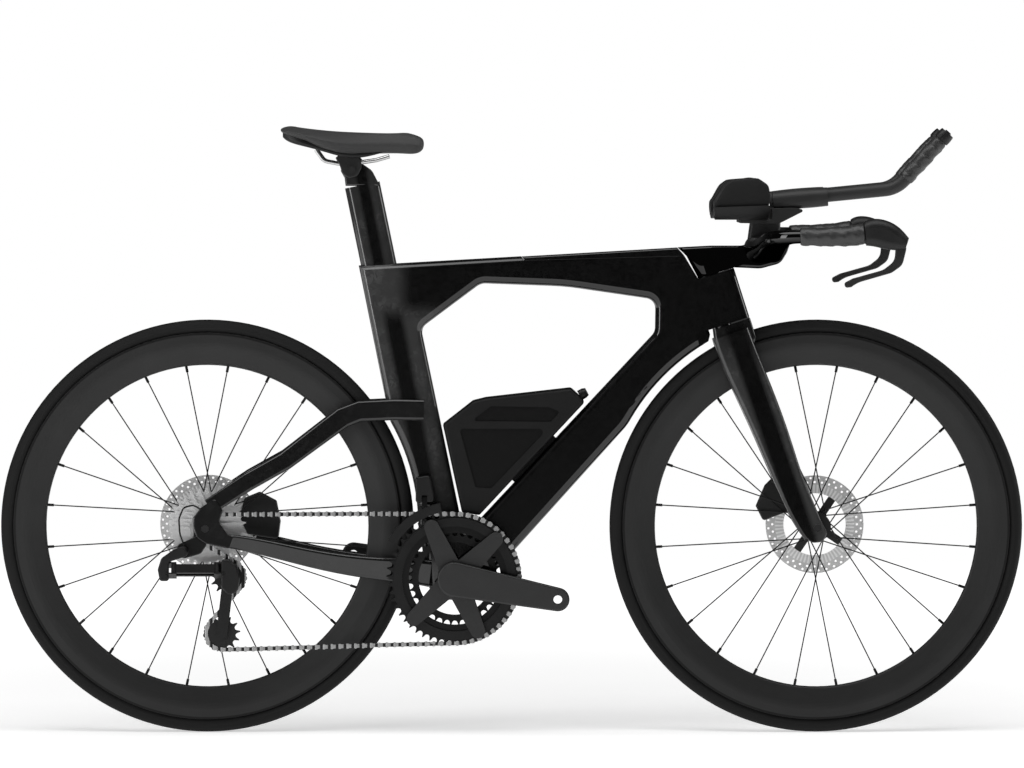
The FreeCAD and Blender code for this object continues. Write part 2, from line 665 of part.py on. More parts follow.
def front_triangle():
    body = slab(FRAME_OUTLINE_PX, -HALF_FRAME, HALF_FRAME)
    body = body.cut(slab(FRAME_HOLE_PX, -HALF_FRAME - OVERRUN, HALF_FRAME + OVERRUN))
    body = body.makeFillet(FRAME_ROUND, soft_edges(body, HALF_FRAME, FRAME_SHARP_EDGES_PX))
    half_shell = BB_SHELL_WIDTH / 2
    half_boss = BOTTLE_BOSS_WIDTH / 2
    boss = slab(BOTTLE_BOSS_PX, -half_boss, half_boss)
    body = body.fuse([across(BB_SHELL_RADIUS, BB, -half_shell, half_shell), boss])
    body = body.cut(frame_cavity())
    body = body.cut(seatpost_blade(SEAT_GAP))
    head_low = steer_point(CROWN_SEAM - OVERRUN)
    head_high = steer_point(STEM_SEAM + OVERRUN)
    body = body.cut(cylinder(HEAD_BORE_RADIUS, head_low, head_high))
    for start, end in bearing_spans():
        body = body.cut(cylinder(BEARING_RADIUS, steer_point(start), steer_point(end)))
    body = body.cut(across(BB_BORE_RADIUS, BB, -half_shell - OVERRUN, half_shell + OVERRUN))
    body = body.cut(stem_cone(STEM_SEAM - BODY_GAP, BODY_GAP))
    body = body.cut(nose_relief())
    body = body.cut(wheel_clearance(FRONT_AXLE, FRONT_TYRE_CLEARANCE, HALF_FRAME + OVERRUN))
    return body.cut(wheel_clearance(REAR_AXLE, REAR_TYRE_CLEARANCE, HALF_FRAME - OVERRUN))


def frame_cavity():
    """The hollow of the tubes, left out round the seatpost, the head bearings and the bottom bracket."""
    outer = Part.Face(outline(FRAME_OUTLINE_PX, -HALF_FRAME + FRAME_WALL))
    hole = Part.Face(outline(FRAME_HOLE_PX, -HALF_FRAME + FRAME_WALL))
    core = outer.makeOffset2D(-FRAME_WALL).cut(hole.makeOffset2D(FRAME_WALL))
    core = core.extrude(Y_AXIS * (FRAME_WIDTH - 2 * FRAME_WALL))
    core = core.cut(slab(FRAME_SOLID_SEAT_PX, -FRAME_WIDTH, FRAME_WIDTH))
    core = core.cut(across(BB_SHELL_RADIUS, BB, -FRAME_WIDTH, FRAME_WIDTH))
    head = BEARING_RADIUS + FRAME_WALL
    low = steer_point(CROWN_SEAM - NOSE_RELIEF_HEIGHT)
    core = core.cut(cylinder(head, low, steer_point(STEM_SEAM + FRAME_WIDTH)))
    core = core.cut(cylinder(NOSE_RELIEF_RADIUS + FRAME_WALL, low, steer_point(CROWN_SEAM + FRAME_WALL)))
    front = wheel_clearance(FRONT_AXLE, FRONT_TYRE_CLEARANCE + FRAME_WALL, FRAME_WIDTH)
    rear = wheel_clearance(REAR_AXLE, REAR_TYRE_CLEARANCE + FRAME_WALL, FRAME_WIDTH)
    return core.cut(front).cut(rear)


def bearing_spans():
    lower = (CROWN_SEAM - OVERRUN, CROWN_SEAM + BEARING_HEIGHT)
    upper = (STEM_SEAM - BEARING_HEIGHT, STEM_SEAM + OVERRUN)
    return (lower, upper)


def stem_cone(start, gap):
    """The round foot of the stem, which turns in the frame's recess."""
    top = STEM_SEAM + STEM_FLARE_HEIGHT
    slope = (STEM_FLARE_RADIUS - STEM_SEAM_RADIUS) / STEM_FLARE_HEIGHT
    low_radius = STEM_SEAM_RADIUS + slope * (start - STEM_SEAM) + gap
    body = cone(low_radius, STEM_FLARE_RADIUS + gap, steer_point(start), steer_point(top))
    flare_top = steer_point(top + STEM_FLARE_HEIGHT)
    return body.fuse(cylinder(STEM_FLARE_RADIUS + gap, steer_point(top), flare_top))


def nose_relief():
    """Room in the frame's lower nose for the fork crown and its blades at full turn."""
    low = CROWN_SEAM - NOSE_RELIEF_HEIGHT
    relief = cylinder(NOSE_RELIEF_RADIUS, steer_point(low), steer_point(CROWN_SEAM))
    middle = Part.makeBox(WHEELBASE, NOSE_WIDTH, WHEELBASE, V(0, -NOSE_WIDTH / 2, 0))
    cuts = [relief.cut(middle)]
    for turn in (-STEER_LIMIT, STEER_LIMIT):
        corner = V(-CROWN_REAR, -CROWN_WIDTH / 2, 0)
        crown = Part.makeBox(2 * CROWN_REAR, CROWN_WIDTH, NOSE_RELIEF_HEIGHT, corner)
        crown.rotate(V(0, 0, 0), Z_AXIS, turn)
        crown.rotate(V(0, 0, 0), Y_AXIS, HEAD_ANGLE - 90)
        crown.translate(steer_point(low))
        cuts.append(crown)
    return cuts


def top_tube_cover():
    body = slab(COVER_OUTLINE_PX, -HALF_FRAME, HALF_FRAME)
    top = at(*COVER_OUTLINE_PX[0][:2]).z
    long_edges = []
    for edge in side_edges(body, (-HALF_FRAME, HALF_FRAME)):
        middle = edge.valueAt((edge.FirstParameter + edge.LastParameter) / 2)
        if edge.Length > FRAME_WIDTH and middle.z > top:
            long_edges.append(edge)
    body = body.makeFillet(COVER_ROUND, long_edges)
    return body.cut(stem_cone(STEM_SEAM - BODY_GAP, BODY_GAP))


def headset_bearings():
    rings = []
    for low, high in ((CROWN_SEAM, CROWN_SEAM + BEARING_HEIGHT), (STEM_SEAM - BEARING_HEIGHT, STEM_SEAM)):
        start = steer_point(low + BODY_GAP)
        end = steer_point(high - BODY_GAP)
        ring = cylinder(BEARING_RADIUS, start, end)
        rings.append(ring.cut(cylinder(STEERER_RADIUS + RUNNING_FIT, steer_point(low - OVERRUN),
                                       steer_point(high + OVERRUN))))
    return group(rings)


def stay(stations_px, laterals, width_shares, width, straight):
    stations = []
    for (px, py, depth), lateral, share in zip(stations_px, laterals, width_shares):
        stations.append((at(px, py, -lateral), depth * MM_PER_PX, width * share))
    return loft_tube(stations, Y_AXIS, STAY_ROUND_SHARE, straight=straight)


def rear_triangle(front):
    laterals = [near_shell * BB_SHELL_WIDTH / 2 + near_hub * REAR_HALF
                for near_shell, near_hub in zip(CHAINSTAY_SHELL_SHARES, CHAINSTAY_HUB_SHARES)]
    chainstay = stay(CHAINSTAY_PX, laterals, CHAINSTAY_WIDTH_SHARES, CHAINSTAY_WIDTH, False)
    laterals = [share * REAR_HALF for share in SEATSTAY_LATERAL_SHARES]
    seatstay = stay(SEATSTAY_PX, laterals, SEATSTAY_WIDTH_SHARES, SEATSTAY_WIDTH, True)
    outer = -REAR_HALF - DROPOUT_THICKNESS
    dropout = rounded_slab(DROPOUT_PX, outer, -REAR_HALF, DROPOUT_ROUND)
    side = joined([chainstay, seatstay, dropout])
    side = side.cut(across(AXLE_RADIUS + SEAT_GAP, REAR_AXLE, outer - OVERRUN, -REAR_HALF + OVERRUN))
    side = side.cut(wheel_clearance(REAR_AXLE, REAR_TYRE_CLEARANCE, RIM_WIDTH / 2 + REAR_TYRE_CLEARANCE))
    hanger = rounded_slab(HANGER_PX, -REAR_HALF - HANGER_THICKNESS, -REAR_HALF, DROPOUT_ROUND)
    sides = []
    for half in (joined([side, hanger]), mirrored(side)):
        clear = half.cut(front)
        sides.append(max(clear.Solids, key=lambda solid: solid.Volume))
    return group(sides)


def saddle_section(px, top, bottom, half_width):
    low = at(px, bottom)
    height = at(px, top).z - low.z
    points = [low + Y_AXIS * (half_width * across_share) + Z_AXIS * (height * up_share)
              for across_share, up_share in COVER_POINT_SHARES]
    size = min(height, half_width)
    return rounded_wire(points, [size * share for share in COVER_ROUND_SHARES])


def saddle_cover():
    wires = []
    for (px, top, bottom), share in zip(COVER_SECTIONS_PX, COVER_WIDTH_SHARES):
        wires.append(saddle_section(px, top, bottom, SADDLE_WIDTH / 2 * share))
    return Part.makeLoft(wires, True, False)


def saddle_shell(cover, rails, clamp):
    stations = []
    for (px, top, bottom), share in zip(SHELL_SECTIONS_PX, SHELL_WIDTH_SHARES):
        centre = at(px, (top + bottom) / 2)
        stations.append((centre, (bottom - top) * MM_PER_PX, SADDLE_WIDTH * share))
    body = loft_tube(stations, Y_AXIS, STAY_ROUND_SHARE, X_AXIS, X_AXIS)
    body = body.cut([cover, rails, clamp])
    return max(body.Solids, key=lambda solid: solid.Volume)


def saddle_rails():
    return both_sides(bent_wire(RAIL_PX, -SADDLE_RAIL_SPACING / 2, RAIL_RADIUS))


def saddle_clamp(rails):
    inner = POST_HEAD_WIDTH / 2
    outer = inner + CLAMP_THICKNESS
    ear = rounded_slab(CLAMP_PX, -outer, -inner, CLAMP_ROUND)
    pieces = [ear.cut(rails), mirrored(ear).cut(rails)]
    bolt = across(CLAMP_BOLT_RADIUS, at(*CLAMP_BOLT_PX), -outer, outer)
    head = across(CLAMP_HEAD_RADIUS, at(*CLAMP_BOLT_PX), -outer - CLAMP_HEAD_HEIGHT, -outer)
    return joined(pieces + [bolt, head, mirrored(head)])


def seatpost(clamp):
    half = POST_HEAD_WIDTH / 2
    head = rounded_slab(POST_HEAD_PX, -half, half, POST_HEAD_ROUND)
    body = joined([seatpost_blade(0.0), head])
    bolt_hole = across(CLAMP_BOLT_RADIUS + SEAT_GAP, at(*CLAMP_BOLT_PX), -half - OVERRUN, half + OVERRUN)
    return body.cut(bolt_hole).cut(clamp)


def bottle_body(front):
    half = BOTTLE_WIDTH / 2
    floor = half - BOTTLE_PANEL_DEPTH
    body = rounded_slab(BOTTLE_PX, -half, half, BOTTLE_ROUND)
    for panel in (BOTTLE_PANEL_PX, BOTTLE_GRIP_PX):
        for low, high in ((-half - OVERRUN, -floor), (floor, half + OVERRUN)):
            body = body.cut(slab(panel, low, high))
    body = body.cut(front)
    return max(body.Solids, key=lambda solid: solid.Volume)


def bottle_cap(bottle):
    start = at(*NOZZLE_PX)
    end = at(*NOZZLE_TIP_PX)
    step = start + (end - start) * NOZZLE_STEP_SHARE
    body = joined([cylinder(NOZZLE_RADIUS, start, step), cone(NOZZLE_RADIUS, NOZZLE_TIP_RADIUS, step, end)])
    return max(body.cut(bottle).Solids, key=lambda solid: solid.Volume)


def tyre(axle):
    half = TYRE_SECTION / 2
    middle = BEAD_SEAT_RADIUS + half
    inner = half - TYRE_WALL
    outer_angle = asin(TYRE_OPENING / 2 / half)
    inner_angle = asin(TYRE_OPENING / 2 / inner)

    def place(radius, angle):
        return axle + X_AXIS * (middle - radius * cos(angle)) + Y_AXIS * (radius * sin(angle))

    edges = []
    for radius, angle in ((half, outer_angle), (inner, inner_angle)):
        crown = place(radius, pi)
        for side in (1, -1):
            halfway = place(radius, side * (pi + angle) / 2)
            edges.append(Part.Arc(place(radius, side * angle), halfway, crown).toShape())
    for side in (1, -1):
        bead = place(inner, side * inner_angle)
        edges.append(Part.LineSegment(place(half, side * outer_angle), bead).toShape())
    wire = Part.Wire(Part.__sortEdges__(edges))
    return Part.Face(wire).revolve(axle, Y_AXIS, 360)


def rim_half(radius, half_width, nose, edge_round, nose_round):
    """One side of a rim section, from its outer edge to its nose."""
    shoulder = radius - RIM_DEPTH * RIM_SHOULDER_SHARE
    return [(radius, half_width, edge_round), (shoulder, half_width, RIM_SHOULDER_ROUND),
            (nose, half_width * RIM_NOSE_SHARE, nose_round)]


def two_sided(half_profile):
    return half_profile + [(radius, -along, corner) for radius, along, corner in reversed(half_profile)]


def rim(axle):
    half = RIM_WIDTH / 2
    half_inner = RIM_INNER_WIDTH / 2
    half_tyre = TYRE_SECTION / 2
    bed = BEAD_SEAT_RADIUS + half_tyre - sqrt(half_tyre ** 2 - (TYRE_OPENING / 2) ** 2) - SEAT_GAP
    channel = [(bed, half_inner, 0), (RIM_RADIUS, half_inner, 0)]
    section = channel + rim_half(RIM_RADIUS, half, RIM_INNER_RADIUS, RIM_EDGE_ROUND, RIM_NOSE_ROUND)
    body = lathe(two_sided(section), axle, Y_AXIS, X_AXIS)
    hollow = rim_half(bed - RIM_WALL, half - RIM_WALL, RIM_INNER_RADIUS + RIM_WALL, 0, RIM_EDGE_ROUND)
    return body.cut(lathe(two_sided(hollow), axle, Y_AXIS, X_AXIS))


def spokes(axle, left_flange, right_flange):
    pieces = []
    for i in range(SPOKE_COUNT):
        rim_angle = 2 * pi * (i + 0.5) / SPOKE_COUNT
        flange = right_flange if i % 2 == 0 else left_flange
        lean = 1 if (i // 2) % 2 == 0 else -1
        hub_angle = rim_angle + lean * radians(SPOKE_CROSS_ANGLE)
        hub_end = axle + V(cos(hub_angle), 0, sin(hub_angle)) * FLANGE_HOLE_RADIUS
        hub_end = hub_end + Y_AXIS * (flange + lean * SPOKE_HEAD_OFFSET)
        rim_end = axle + V(cos(rim_angle), 0, sin(rim_angle)) * (RIM_INNER_RADIUS + NIPPLE_SEAT_DEPTH)
        nipple_end = rim_end + (hub_end - rim_end).normalize() * NIPPLE_LENGTH
        wire = cylinder(SPOKE_RADIUS, hub_end, rim_end)
        pieces.append(wire.fuse(cylinder(NIPPLE_RADIUS, nipple_end, rim_end)))
    return group(pieces)


def hub(axle, left_flange, right_flange, left_end, right_end, drive_end):
    """A hub shell turned round the axle, with two flanges; drive_end is its right end."""
    half = FLANGE_THICKNESS / 2
    bore = AXLE_RADIUS + RUNNING_FIT
    profile = [
        (bore, right_end, 0), (HUB_END_RADIUS, right_end, 0), (HUB_END_RADIUS, drive_end, 0),
        (HUB_SHELL_RADIUS, drive_end, 0), (HUB_SHELL_RADIUS, right_flange - half, 0),
        (FLANGE_RADIUS, right_flange - half, 0), (FLANGE_RADIUS, right_flange + half, 0),
        (HUB_SHELL_RADIUS, right_flange + half, HUB_ROUND), (HUB_SHELL_RADIUS, left_flange - half, HUB_ROUND),
        (FLANGE_RADIUS, left_flange - half, 0), (FLANGE_RADIUS, left_flange + half, 0),
        (HUB_SHELL_RADIUS, left_flange + half, 0), (HUB_END_RADIUS, left_end - HUB_ROUND, 0),
        (HUB_END_RADIUS, left_end, 0), (bore, left_end, 0),
    ]
    return lathe(profile, axle, Y_AXIS, X_AXIS)


def rotor(axle, plane):
    """A brake rotor: a drilled track, a fin ring and a spider, held by a lock ring."""
    half = ROTOR_THICKNESS / 2
    centre = axle + Y_AXIS * (plane - half)
    inner_track = ROTOR_RADIUS - ROTOR_TRACK
    window_outer = inner_track - ROTOR_FIN_RING
    wires = [Part.Wire(Part.makeCircle(ROTOR_RADIUS, centre, Y_AXIS))]
    for row, share in enumerate(ROTOR_HOLE_ROW_SHARES):
        reach = inner_track + ROTOR_TRACK * share
        for i in range(ROTOR_HOLE_COUNT):
            angle = 2 * pi * (i + row / 2) / ROTOR_HOLE_COUNT
            place = centre + V(cos(angle), 0, sin(angle)) * reach
            wires.append(Part.Wire(Part.makeCircle(ROTOR_HOLE_RADIUS, place, Y_AXIS)))
    wires.append(Part.Wire(Part.makeCircle(window_outer, centre, Y_AXIS)))
    track = Part.makeFace(wires, "Part::FaceMakerBullseye").extrude(Y_AXIS * ROTOR_THICKNESS)
    spider_half = ROTOR_SPIDER_THICKNESS / 2
    spider = [across(ROTOR_HUB_RADIUS, axle, plane - spider_half, plane + spider_half)]
    reach = window_outer + ROTOR_FIN_RING / 2
    for i in range(ROTOR_ARM_COUNT):
        turn = ROTOR_ARM_ANGLE + 360.0 * i / ROTOR_ARM_COUNT
        arm = Part.makeBox(reach, ROTOR_SPIDER_THICKNESS, ROTOR_ARM_WIDTH,
                           axle + V(0, plane - spider_half, -ROTOR_ARM_WIDTH / 2))
        tip = across(ROTOR_ARM_WIDTH / 2, axle + X_AXIS * reach, plane - spider_half, plane + spider_half)
        arm = arm.fuse(tip)
        arm.rotate(axle, Y_AXIS, -turn)
        spider.append(arm)
    spider.append(across(LOCKRING_RADIUS, axle, plane, plane + spider_half + LOCKRING_DEPTH))
    body = joined([track] + spider)
    return body.cut(across(HUB_SHELL_RADIUS, axle, -REAR_HUB_WIDTH, REAR_HUB_WIDTH))


def round_rotor(outline_px, axle_px):
    """A side-view outline beside a rotor, grown about the axle with the rotor's radius."""
    growth = ROTOR_RADIUS / (ROTOR_RADIUS_PX * MM_PER_PX)
    x, y = axle_px
    return [(x + (px - x) * growth, y + (py - y) * growth, radius * growth) for px, py, radius in outline_px]


def caliper(outline_px, pad_px, axle, plane):
    """A brake caliper with a slot for the rotor and a pocket for the pads."""
    body = rounded_slab(outline_px, plane - CALIPER_HALF_WIDTH, plane + CALIPER_HALF_WIDTH, CALIPER_ROUND)
    reach = ROTOR_THICKNESS / 2 + PAD_CLEARANCE + PAD_THICKNESS + BODY_GAP
    slot = across(ROTOR_RADIUS + ROTOR_THICKNESS, axle, plane - ROTOR_THICKNESS, plane + ROTOR_THICKNESS)
    pocket = slab(pad_px, plane - reach, plane + reach)
    pocket = pocket.makeOffsetShape(BODY_GAP, BODY_GAP / 10, join=2)
    spider_half = ROTOR_SPIDER_THICKNESS / 2 + BODY_GAP
    spider = across(ROTOR_RADIUS - ROTOR_TRACK + BODY_GAP, axle, plane - spider_half, plane + spider_half)
    return body.cut([slot, pocket, spider])


def brake_pad(pad_px, plane, side):
    inner = ROTOR_THICKNESS / 2 + PAD_CLEARANCE
    places = sorted((plane + side * inner, plane + side * (inner + PAD_THICKNESS)))
    return slab(pad_px, places[0], places[1])


def thru_axle(axle, half_width, thickness):
    shaft = across(AXLE_RADIUS, axle, -half_width - thickness, half_width + thickness)
    head = across(AXLE_HEAD_RADIUS, axle, half_width + thickness, half_width + thickness + AXLE_HEAD_DEPTH)
    return joined([shaft, head])


def fork():
    sides = []
    outer = FRONT_HALF + FORK_TIP_THICKNESS
    for side in (-1, 1):
        stations = []
        for (px, py, depth), lateral, share in zip(BLADE_PX, BLADE_LATERAL_SHARES, BLADE_WIDTH_SHARES):
            stations.append((at(px, py, side * lateral * FRONT_HALF), depth * MM_PER_PX, BLADE_WIDTH * share))
        sides.append(loft_tube(stations, Y_AXIS, BLADE_ROUND_SHARE))
        low, high = sorted((side * FRONT_HALF, side * outer))
        sides.append(rounded_slab(FORK_TIP_PX, low, high, DROPOUT_ROUND))
    half = CROWN_WIDTH / 2
    crown = slab(CROWN_PX, -half, half)
    crown = crown.makeFillet(CROWN_ROUND, soft_edges(crown, half, CROWN_SHARP_EDGES_PX))
    steerer = cylinder(STEERER_RADIUS, steer_point(CROWN_SEAM - STEERER_RADIUS), steer_point(STEERER_TOP))
    body = joined([crown] + sides + [steerer])
    half_tunnel = CROWN_TUNNEL_WIDTH / 2
    body = body.cut(wheel_clearance(FRONT_AXLE, FRONT_TYRE_CLEARANCE, half_tunnel))
    above = cylinder(WHEELBASE, steer_point(CROWN_SEAM - BODY_GAP), steer_point(CROWN_SEAM + WHEELBASE))
    body = body.cut(above.cut(cylinder(STEERER_RADIUS, steer_point(0), steer_point(STEERER_TOP))))
    body = body.cut(across(AXLE_HEAD_RADIUS + SEAT_GAP, FRONT_AXLE, outer, outer + OVERRUN))
    body = body.cut(across(FLANGE_RADIUS, FRONT_AXLE, -FRONT_HALF, FRONT_HALF))
    return body.cut(across(AXLE_RADIUS + SEAT_GAP, FRONT_AXLE, -outer - OVERRUN, outer + OVERRUN))


def bar_wing():
    stations = []
    for (px, py, chord, thickness), share in zip(WING_PX, WING_LATERAL_SHARES):
        stations.append((at(px, py, -share * GRIP_SPACING / 2), chord * MM_PER_PX, thickness * MM_PER_PX))
    return loft_tube(stations, Z_AXIS, BAR_ROUND_SHARE, Y_AXIS * -1, X_AXIS)


def base_bar():
    half = STEM_WIDTH / 2
    stem = slab(STEM_PX, -half, half)
    stem = stem.makeFillet(STEM_ROUND, soft_edges(stem, half, STEM_SHARP_EDGES_PX))
    corner = V(-STEM_TAIL, -half - OVERRUN, -OVERRUN)
    tail = Part.makeBox(STEM_TAIL, STEM_WIDTH + 2 * OVERRUN, STEM_TAIL, corner)
    tail.rotate(V(0, 0, 0), Y_AXIS, HEAD_ANGLE - 90)
    tail.translate(steer_point(STEM_SEAM))
    stem = stem.cut(tail.cut(stem_cone(STEM_SEAM - OVERRUN, 0.0)))
    wing = bar_wing()
    body = joined([stem, wing, mirrored(wing)])
    return body.cut(cylinder(STEERER_RADIUS + SEAT_GAP, steer_point(CROWN_SEAM), steer_point(STEERER_TOP)))


def bar_riser(bar, extension):
    """The column on the base bar, its bridge and the two sleeves that hold the extensions."""
    column = rounded_slab(RISER_PX, -RISER_WIDTH / 2, RISER_WIDTH / 2, RISER_ROUND)
    bridge = rounded_slab(BRIDGE_PX, -BRIDGE_WIDTH / 2, BRIDGE_WIDTH / 2, BRIDGE_ROUND)
    sleeve = extension_tube(CLAMP_SLEEVE_PX, SLEEVE_WIDTH_SHARE)
    body = joined([column, bridge, sleeve, mirrored(sleeve)])
    body = body.cut([bar, extension, mirrored(extension)])
    return max(body.Solids, key=lambda solid: solid.Volume)


def trough(half_width, floor, radius):
    """A long bar with a round floor, open upwards, that lies fore and aft at the right armrest."""
    start = at(PAD_PX[0][0], PAD_FLOOR_PX, -PAD_SPACING / 2) - X_AXIS * OVERRUN
    length = (PAD_PX[-1][0] - PAD_PX[0][0]) * MM_PER_PX + PAD_WIDTH
    side = Y_AXIS * half_width
    low = start + Z_AXIS * floor
    high = low + Z_AXIS * PAD_WIDTH
    wire = rounded_wire([high - side, low - side, low + side, high + side], [0, radius, radius, 0])
    return Part.Face(wire).extrude(X_AXIS * length)


def rim_edges(body):
    """The sharp edges round the foam: those that don't run fore and aft along its floor."""
    return [edge for edge in body.Edges if edge.BoundBox.ZMax > at(0, PAD_FLOOR_PX).z + PAD_ROUND]


def armrest_pad():
    half = PAD_WIDTH / 2
    middle = -PAD_SPACING / 2
    body = slab(PAD_PX, middle - half, middle + half).common(trough(half, 0, PAD_ROUND))
    body = body.cut(trough(half - PAD_FOAM, PAD_FOAM, PAD_ROUND - PAD_FOAM))
    return body.makeFillet(PAD_EDGE_ROUND, rim_edges(body))


def armrest_cup():
    half = PAD_WIDTH / 2
    middle = -PAD_SPACING / 2
    shell = trough(half + CUP_SHELL, -CUP_SHELL, PAD_ROUND + CUP_SHELL)
    shell = shell.cut(trough(half + SEAT_GAP, 0, PAD_ROUND))
    return shell.common(slab(CUP_SHELL_PX, middle - PAD_WIDTH, middle + PAD_WIDTH))


def extension_tube(stations_px, width_share):
    stations = []
    for px, py, depth in stations_px:
        size = depth * MM_PER_PX
        stations.append((at(px, py, -EXTENSION_SPACING / 2), size, size * width_share))
    return loft_tube(stations, Y_AXIS, BAR_ROUND_SHARE)


def bar_grip(bar):
    stations = []
    for px, py, depth in BAR_GRIP_PX:
        size = depth * MM_PER_PX
        stations.append((at(px, py, -GRIP_SPACING / 2), size, size))
    return loft_tube(stations, Y_AXIS, BAR_ROUND_SHARE).cut(bar)


def button_body(radius, depth, height):
    """A round button in the end of the right shifter pod, or the bore that it slides in."""
    end = at(POD_PX[-1][0], POD_PX[-1][1], -EXTENSION_SPACING / 2)
    start = at(POD_PX[0][0], POD_PX[0][1], -EXTENSION_SPACING / 2)
    way = (end - start).normalize()
    return cylinder(radius, end - way * depth, end + way * height)


def shifter_pod():
    body = extension_tube(POD_PX, 1.0)
    return body.cut(button_body(BUTTON_RADIUS + BODY_GAP, BUTTON_ROOT + BUTTON_TRAVEL + BODY_GAP, OVERRUN))


def lever_housing(bar):
    stations = []
    lateral = -GRIP_SPACING / 2
    for (px, py, depth), share in zip(HOUSING_PX, HOUSING_WIDTH_SHARES):
        stations.append((at(px, py, lateral), depth * MM_PER_PX, HOUSING_WIDTH * share))
    body = loft_tube(stations, Y_AXIS, STAY_ROUND_SHARE)
    half = LEVER_WIDTH / 2 + LEVER_SLOT_GAP
    body = body.cut([slab(LEVER_SLOT_PX, lateral - half, lateral + half), bar])
    reach = LEVER_WIDTH
    pin = across(LEVER_PIN_RADIUS, at(*LEVER_PIVOT_PX), lateral - reach, lateral + reach)
    return joined([body, pin])


def brake_lever():
    lateral = -GRIP_SPACING / 2
    half = LEVER_WIDTH / 2
    body = rounded_slab(LEVER_PX, lateral - half, lateral + half, LEVER_ROUND)
    pivot = at(*LEVER_PIVOT_PX)
    bore = across(LEVER_PIN_RADIUS + RUNNING_FIT, pivot, lateral - LEVER_WIDTH, lateral + LEVER_WIDTH)
    return body.cut(bore)


def pitch_radius(teeth):
    return CHAIN_PITCH / 2 / sin(pi / teeth)


def toothed_disc(centre, teeth, phase, thickness, bore):
    """A sprocket plate across the bike; phase is the angle of one roller seat."""
    radius = pitch_radius(teeth)
    step = 2 * pi / teeth
    low = TOOTH_SEAT_RADIUS * TOOTH_SEAT_LOW_SHARE
    side = sqrt(TOOTH_SEAT_RADIUS ** 2 - low ** 2)
    tip_radius = radius + TOOTH_HEIGHT
    tip_half = TOOTH_TIP / 2 / tip_radius
    base = centre - Y_AXIS * (thickness / 2)
    edges = []
    for i in range(teeth):
        angle = phase + i * step
        out = V(cos(angle), 0, sin(angle))
        turn = V(-sin(angle), 0, cos(angle))
        seat = base + out * radius
        start = seat - out * low - turn * side
        end = seat - out * low + turn * side
        edges.append(Part.Arc(start, seat - out * TOOTH_SEAT_RADIUS, end).toShape())
        middle = angle + step / 2
        ways = (middle - tip_half, middle + tip_half)
        tips = [base + V(cos(way), 0, sin(way)) * tip_radius for way in ways]
        after = angle + step
        next_out = V(cos(after), 0, sin(after))
        next_turn = V(-sin(after), 0, cos(after))
        next_start = base + next_out * (radius - low) - next_turn * side
        edges.append(Part.LineSegment(end, tips[0]).toShape())
        edges.append(Part.LineSegment(tips[0], tips[1]).toShape())
        edges.append(Part.LineSegment(tips[1], next_start).toShape())
    hole = Part.Wire(Part.makeCircle(bore, base, Y_AXIS))
    return Part.Face([Part.Wire(edges), hole]).extrude(Y_AXIS * thickness)


def tangent(first, second):
    """Where a chain leaves the first wheel and reaches the second.

    A wheel is a centre, a radius and a turn sense."""
    (c1, r1, s1), (c2, r2, s2) = first, second
    gap = V(c2.x - c1.x, 0, c2.z - c1.z)
    offset = s2 * r2 - s1 * r1
    run = sqrt(gap.Length ** 2 - offset ** 2)
    way = V(gap.x * run - gap.z * offset, 0, gap.z * run + gap.x * offset) / gap.Length ** 2
    right = V(way.z, 0, -way.x)
    return c1 - right * (s1 * r1), c2 - right * (s2 * r2)


def chain_route(tension_centre):
    """The chain's path from the small cog over the big ring: a list of wheels and the runs between them."""
    wheels = [
        (REAR_AXLE, pitch_radius(COG_TEETH[0]), 1), (BB, pitch_radius(BIG_RING_TEETH), 1),
        (tension_centre, pitch_radius(PULLEY_TEETH), 1), (at(*GUIDE_PX), pitch_radius(PULLEY_TEETH), -1),
    ]
    runs = [tangent(wheels[i], wheels[(i + 1) % 4]) for i in range(4)]
    pieces = []
    for i in range(4):
        centre, radius, sense = wheels[i]
        entry = runs[i - 1][1] - centre
        leave = runs[i][0] - centre
        start = atan2(entry.z, entry.x)
        sweep = (sense * (start - atan2(leave.z, leave.x))) % (2 * pi)
        pieces.append(("arc", centre, radius, sense, start, sweep, 2 * asin(CHAIN_PITCH / 2 / radius)))
        way = runs[i][1] - runs[i][0]
        pieces.append(("run", runs[i][0], way, way.Length))
    return pieces


def route_links(pieces):
    return sum(piece[5] / piece[6] if piece[0] == "arc" else piece[3] / CHAIN_PITCH for piece in pieces)


def swung_tension(angle):
    guide = at(*GUIDE_PX)
    arm = at(*TENSION_PX) - guide
    turned = V(arm.x * cos(angle) - arm.z * sin(angle), 0, arm.x * sin(angle) + arm.z * cos(angle))
    return guide + turned


def closed_chain():
    """The cage angle at which the chain closes on a whole, even number of links."""
    count = 2 * round(route_links(chain_route(swung_tension(0.0))) / 2)
    low, high = -CAGE_SEARCH, CAGE_SEARCH
    rising = route_links(chain_route(swung_tension(high))) > route_links(chain_route(swung_tension(low)))
    for step in range(40):
        middle = (low + high) / 2
        if (route_links(chain_route(swung_tension(middle))) > count) == rising:
            high = middle
        else:
            low = middle
    return count, swung_tension((low + high) / 2)


FD_WAY = (at(*FD_PIVOT_PX) - BB).normalize()
FD_PIVOT = BB + FD_WAY * (pitch_radius(BIG_RING_TEETH) + FD_PIVOT_RISE)
FD_PIVOT.y = -CHAIN_LINE + RING_SPACING / 2
FD_CAGE_PIVOT = FD_PIVOT + V(0, -RING_SPACING / 2, -sqrt(FD_LINK_LENGTH ** 2 - (RING_SPACING / 2) ** 2))
LINK_COUNT, TENSION = closed_chain()
CHAIN_PIECES = chain_route(TENSION)


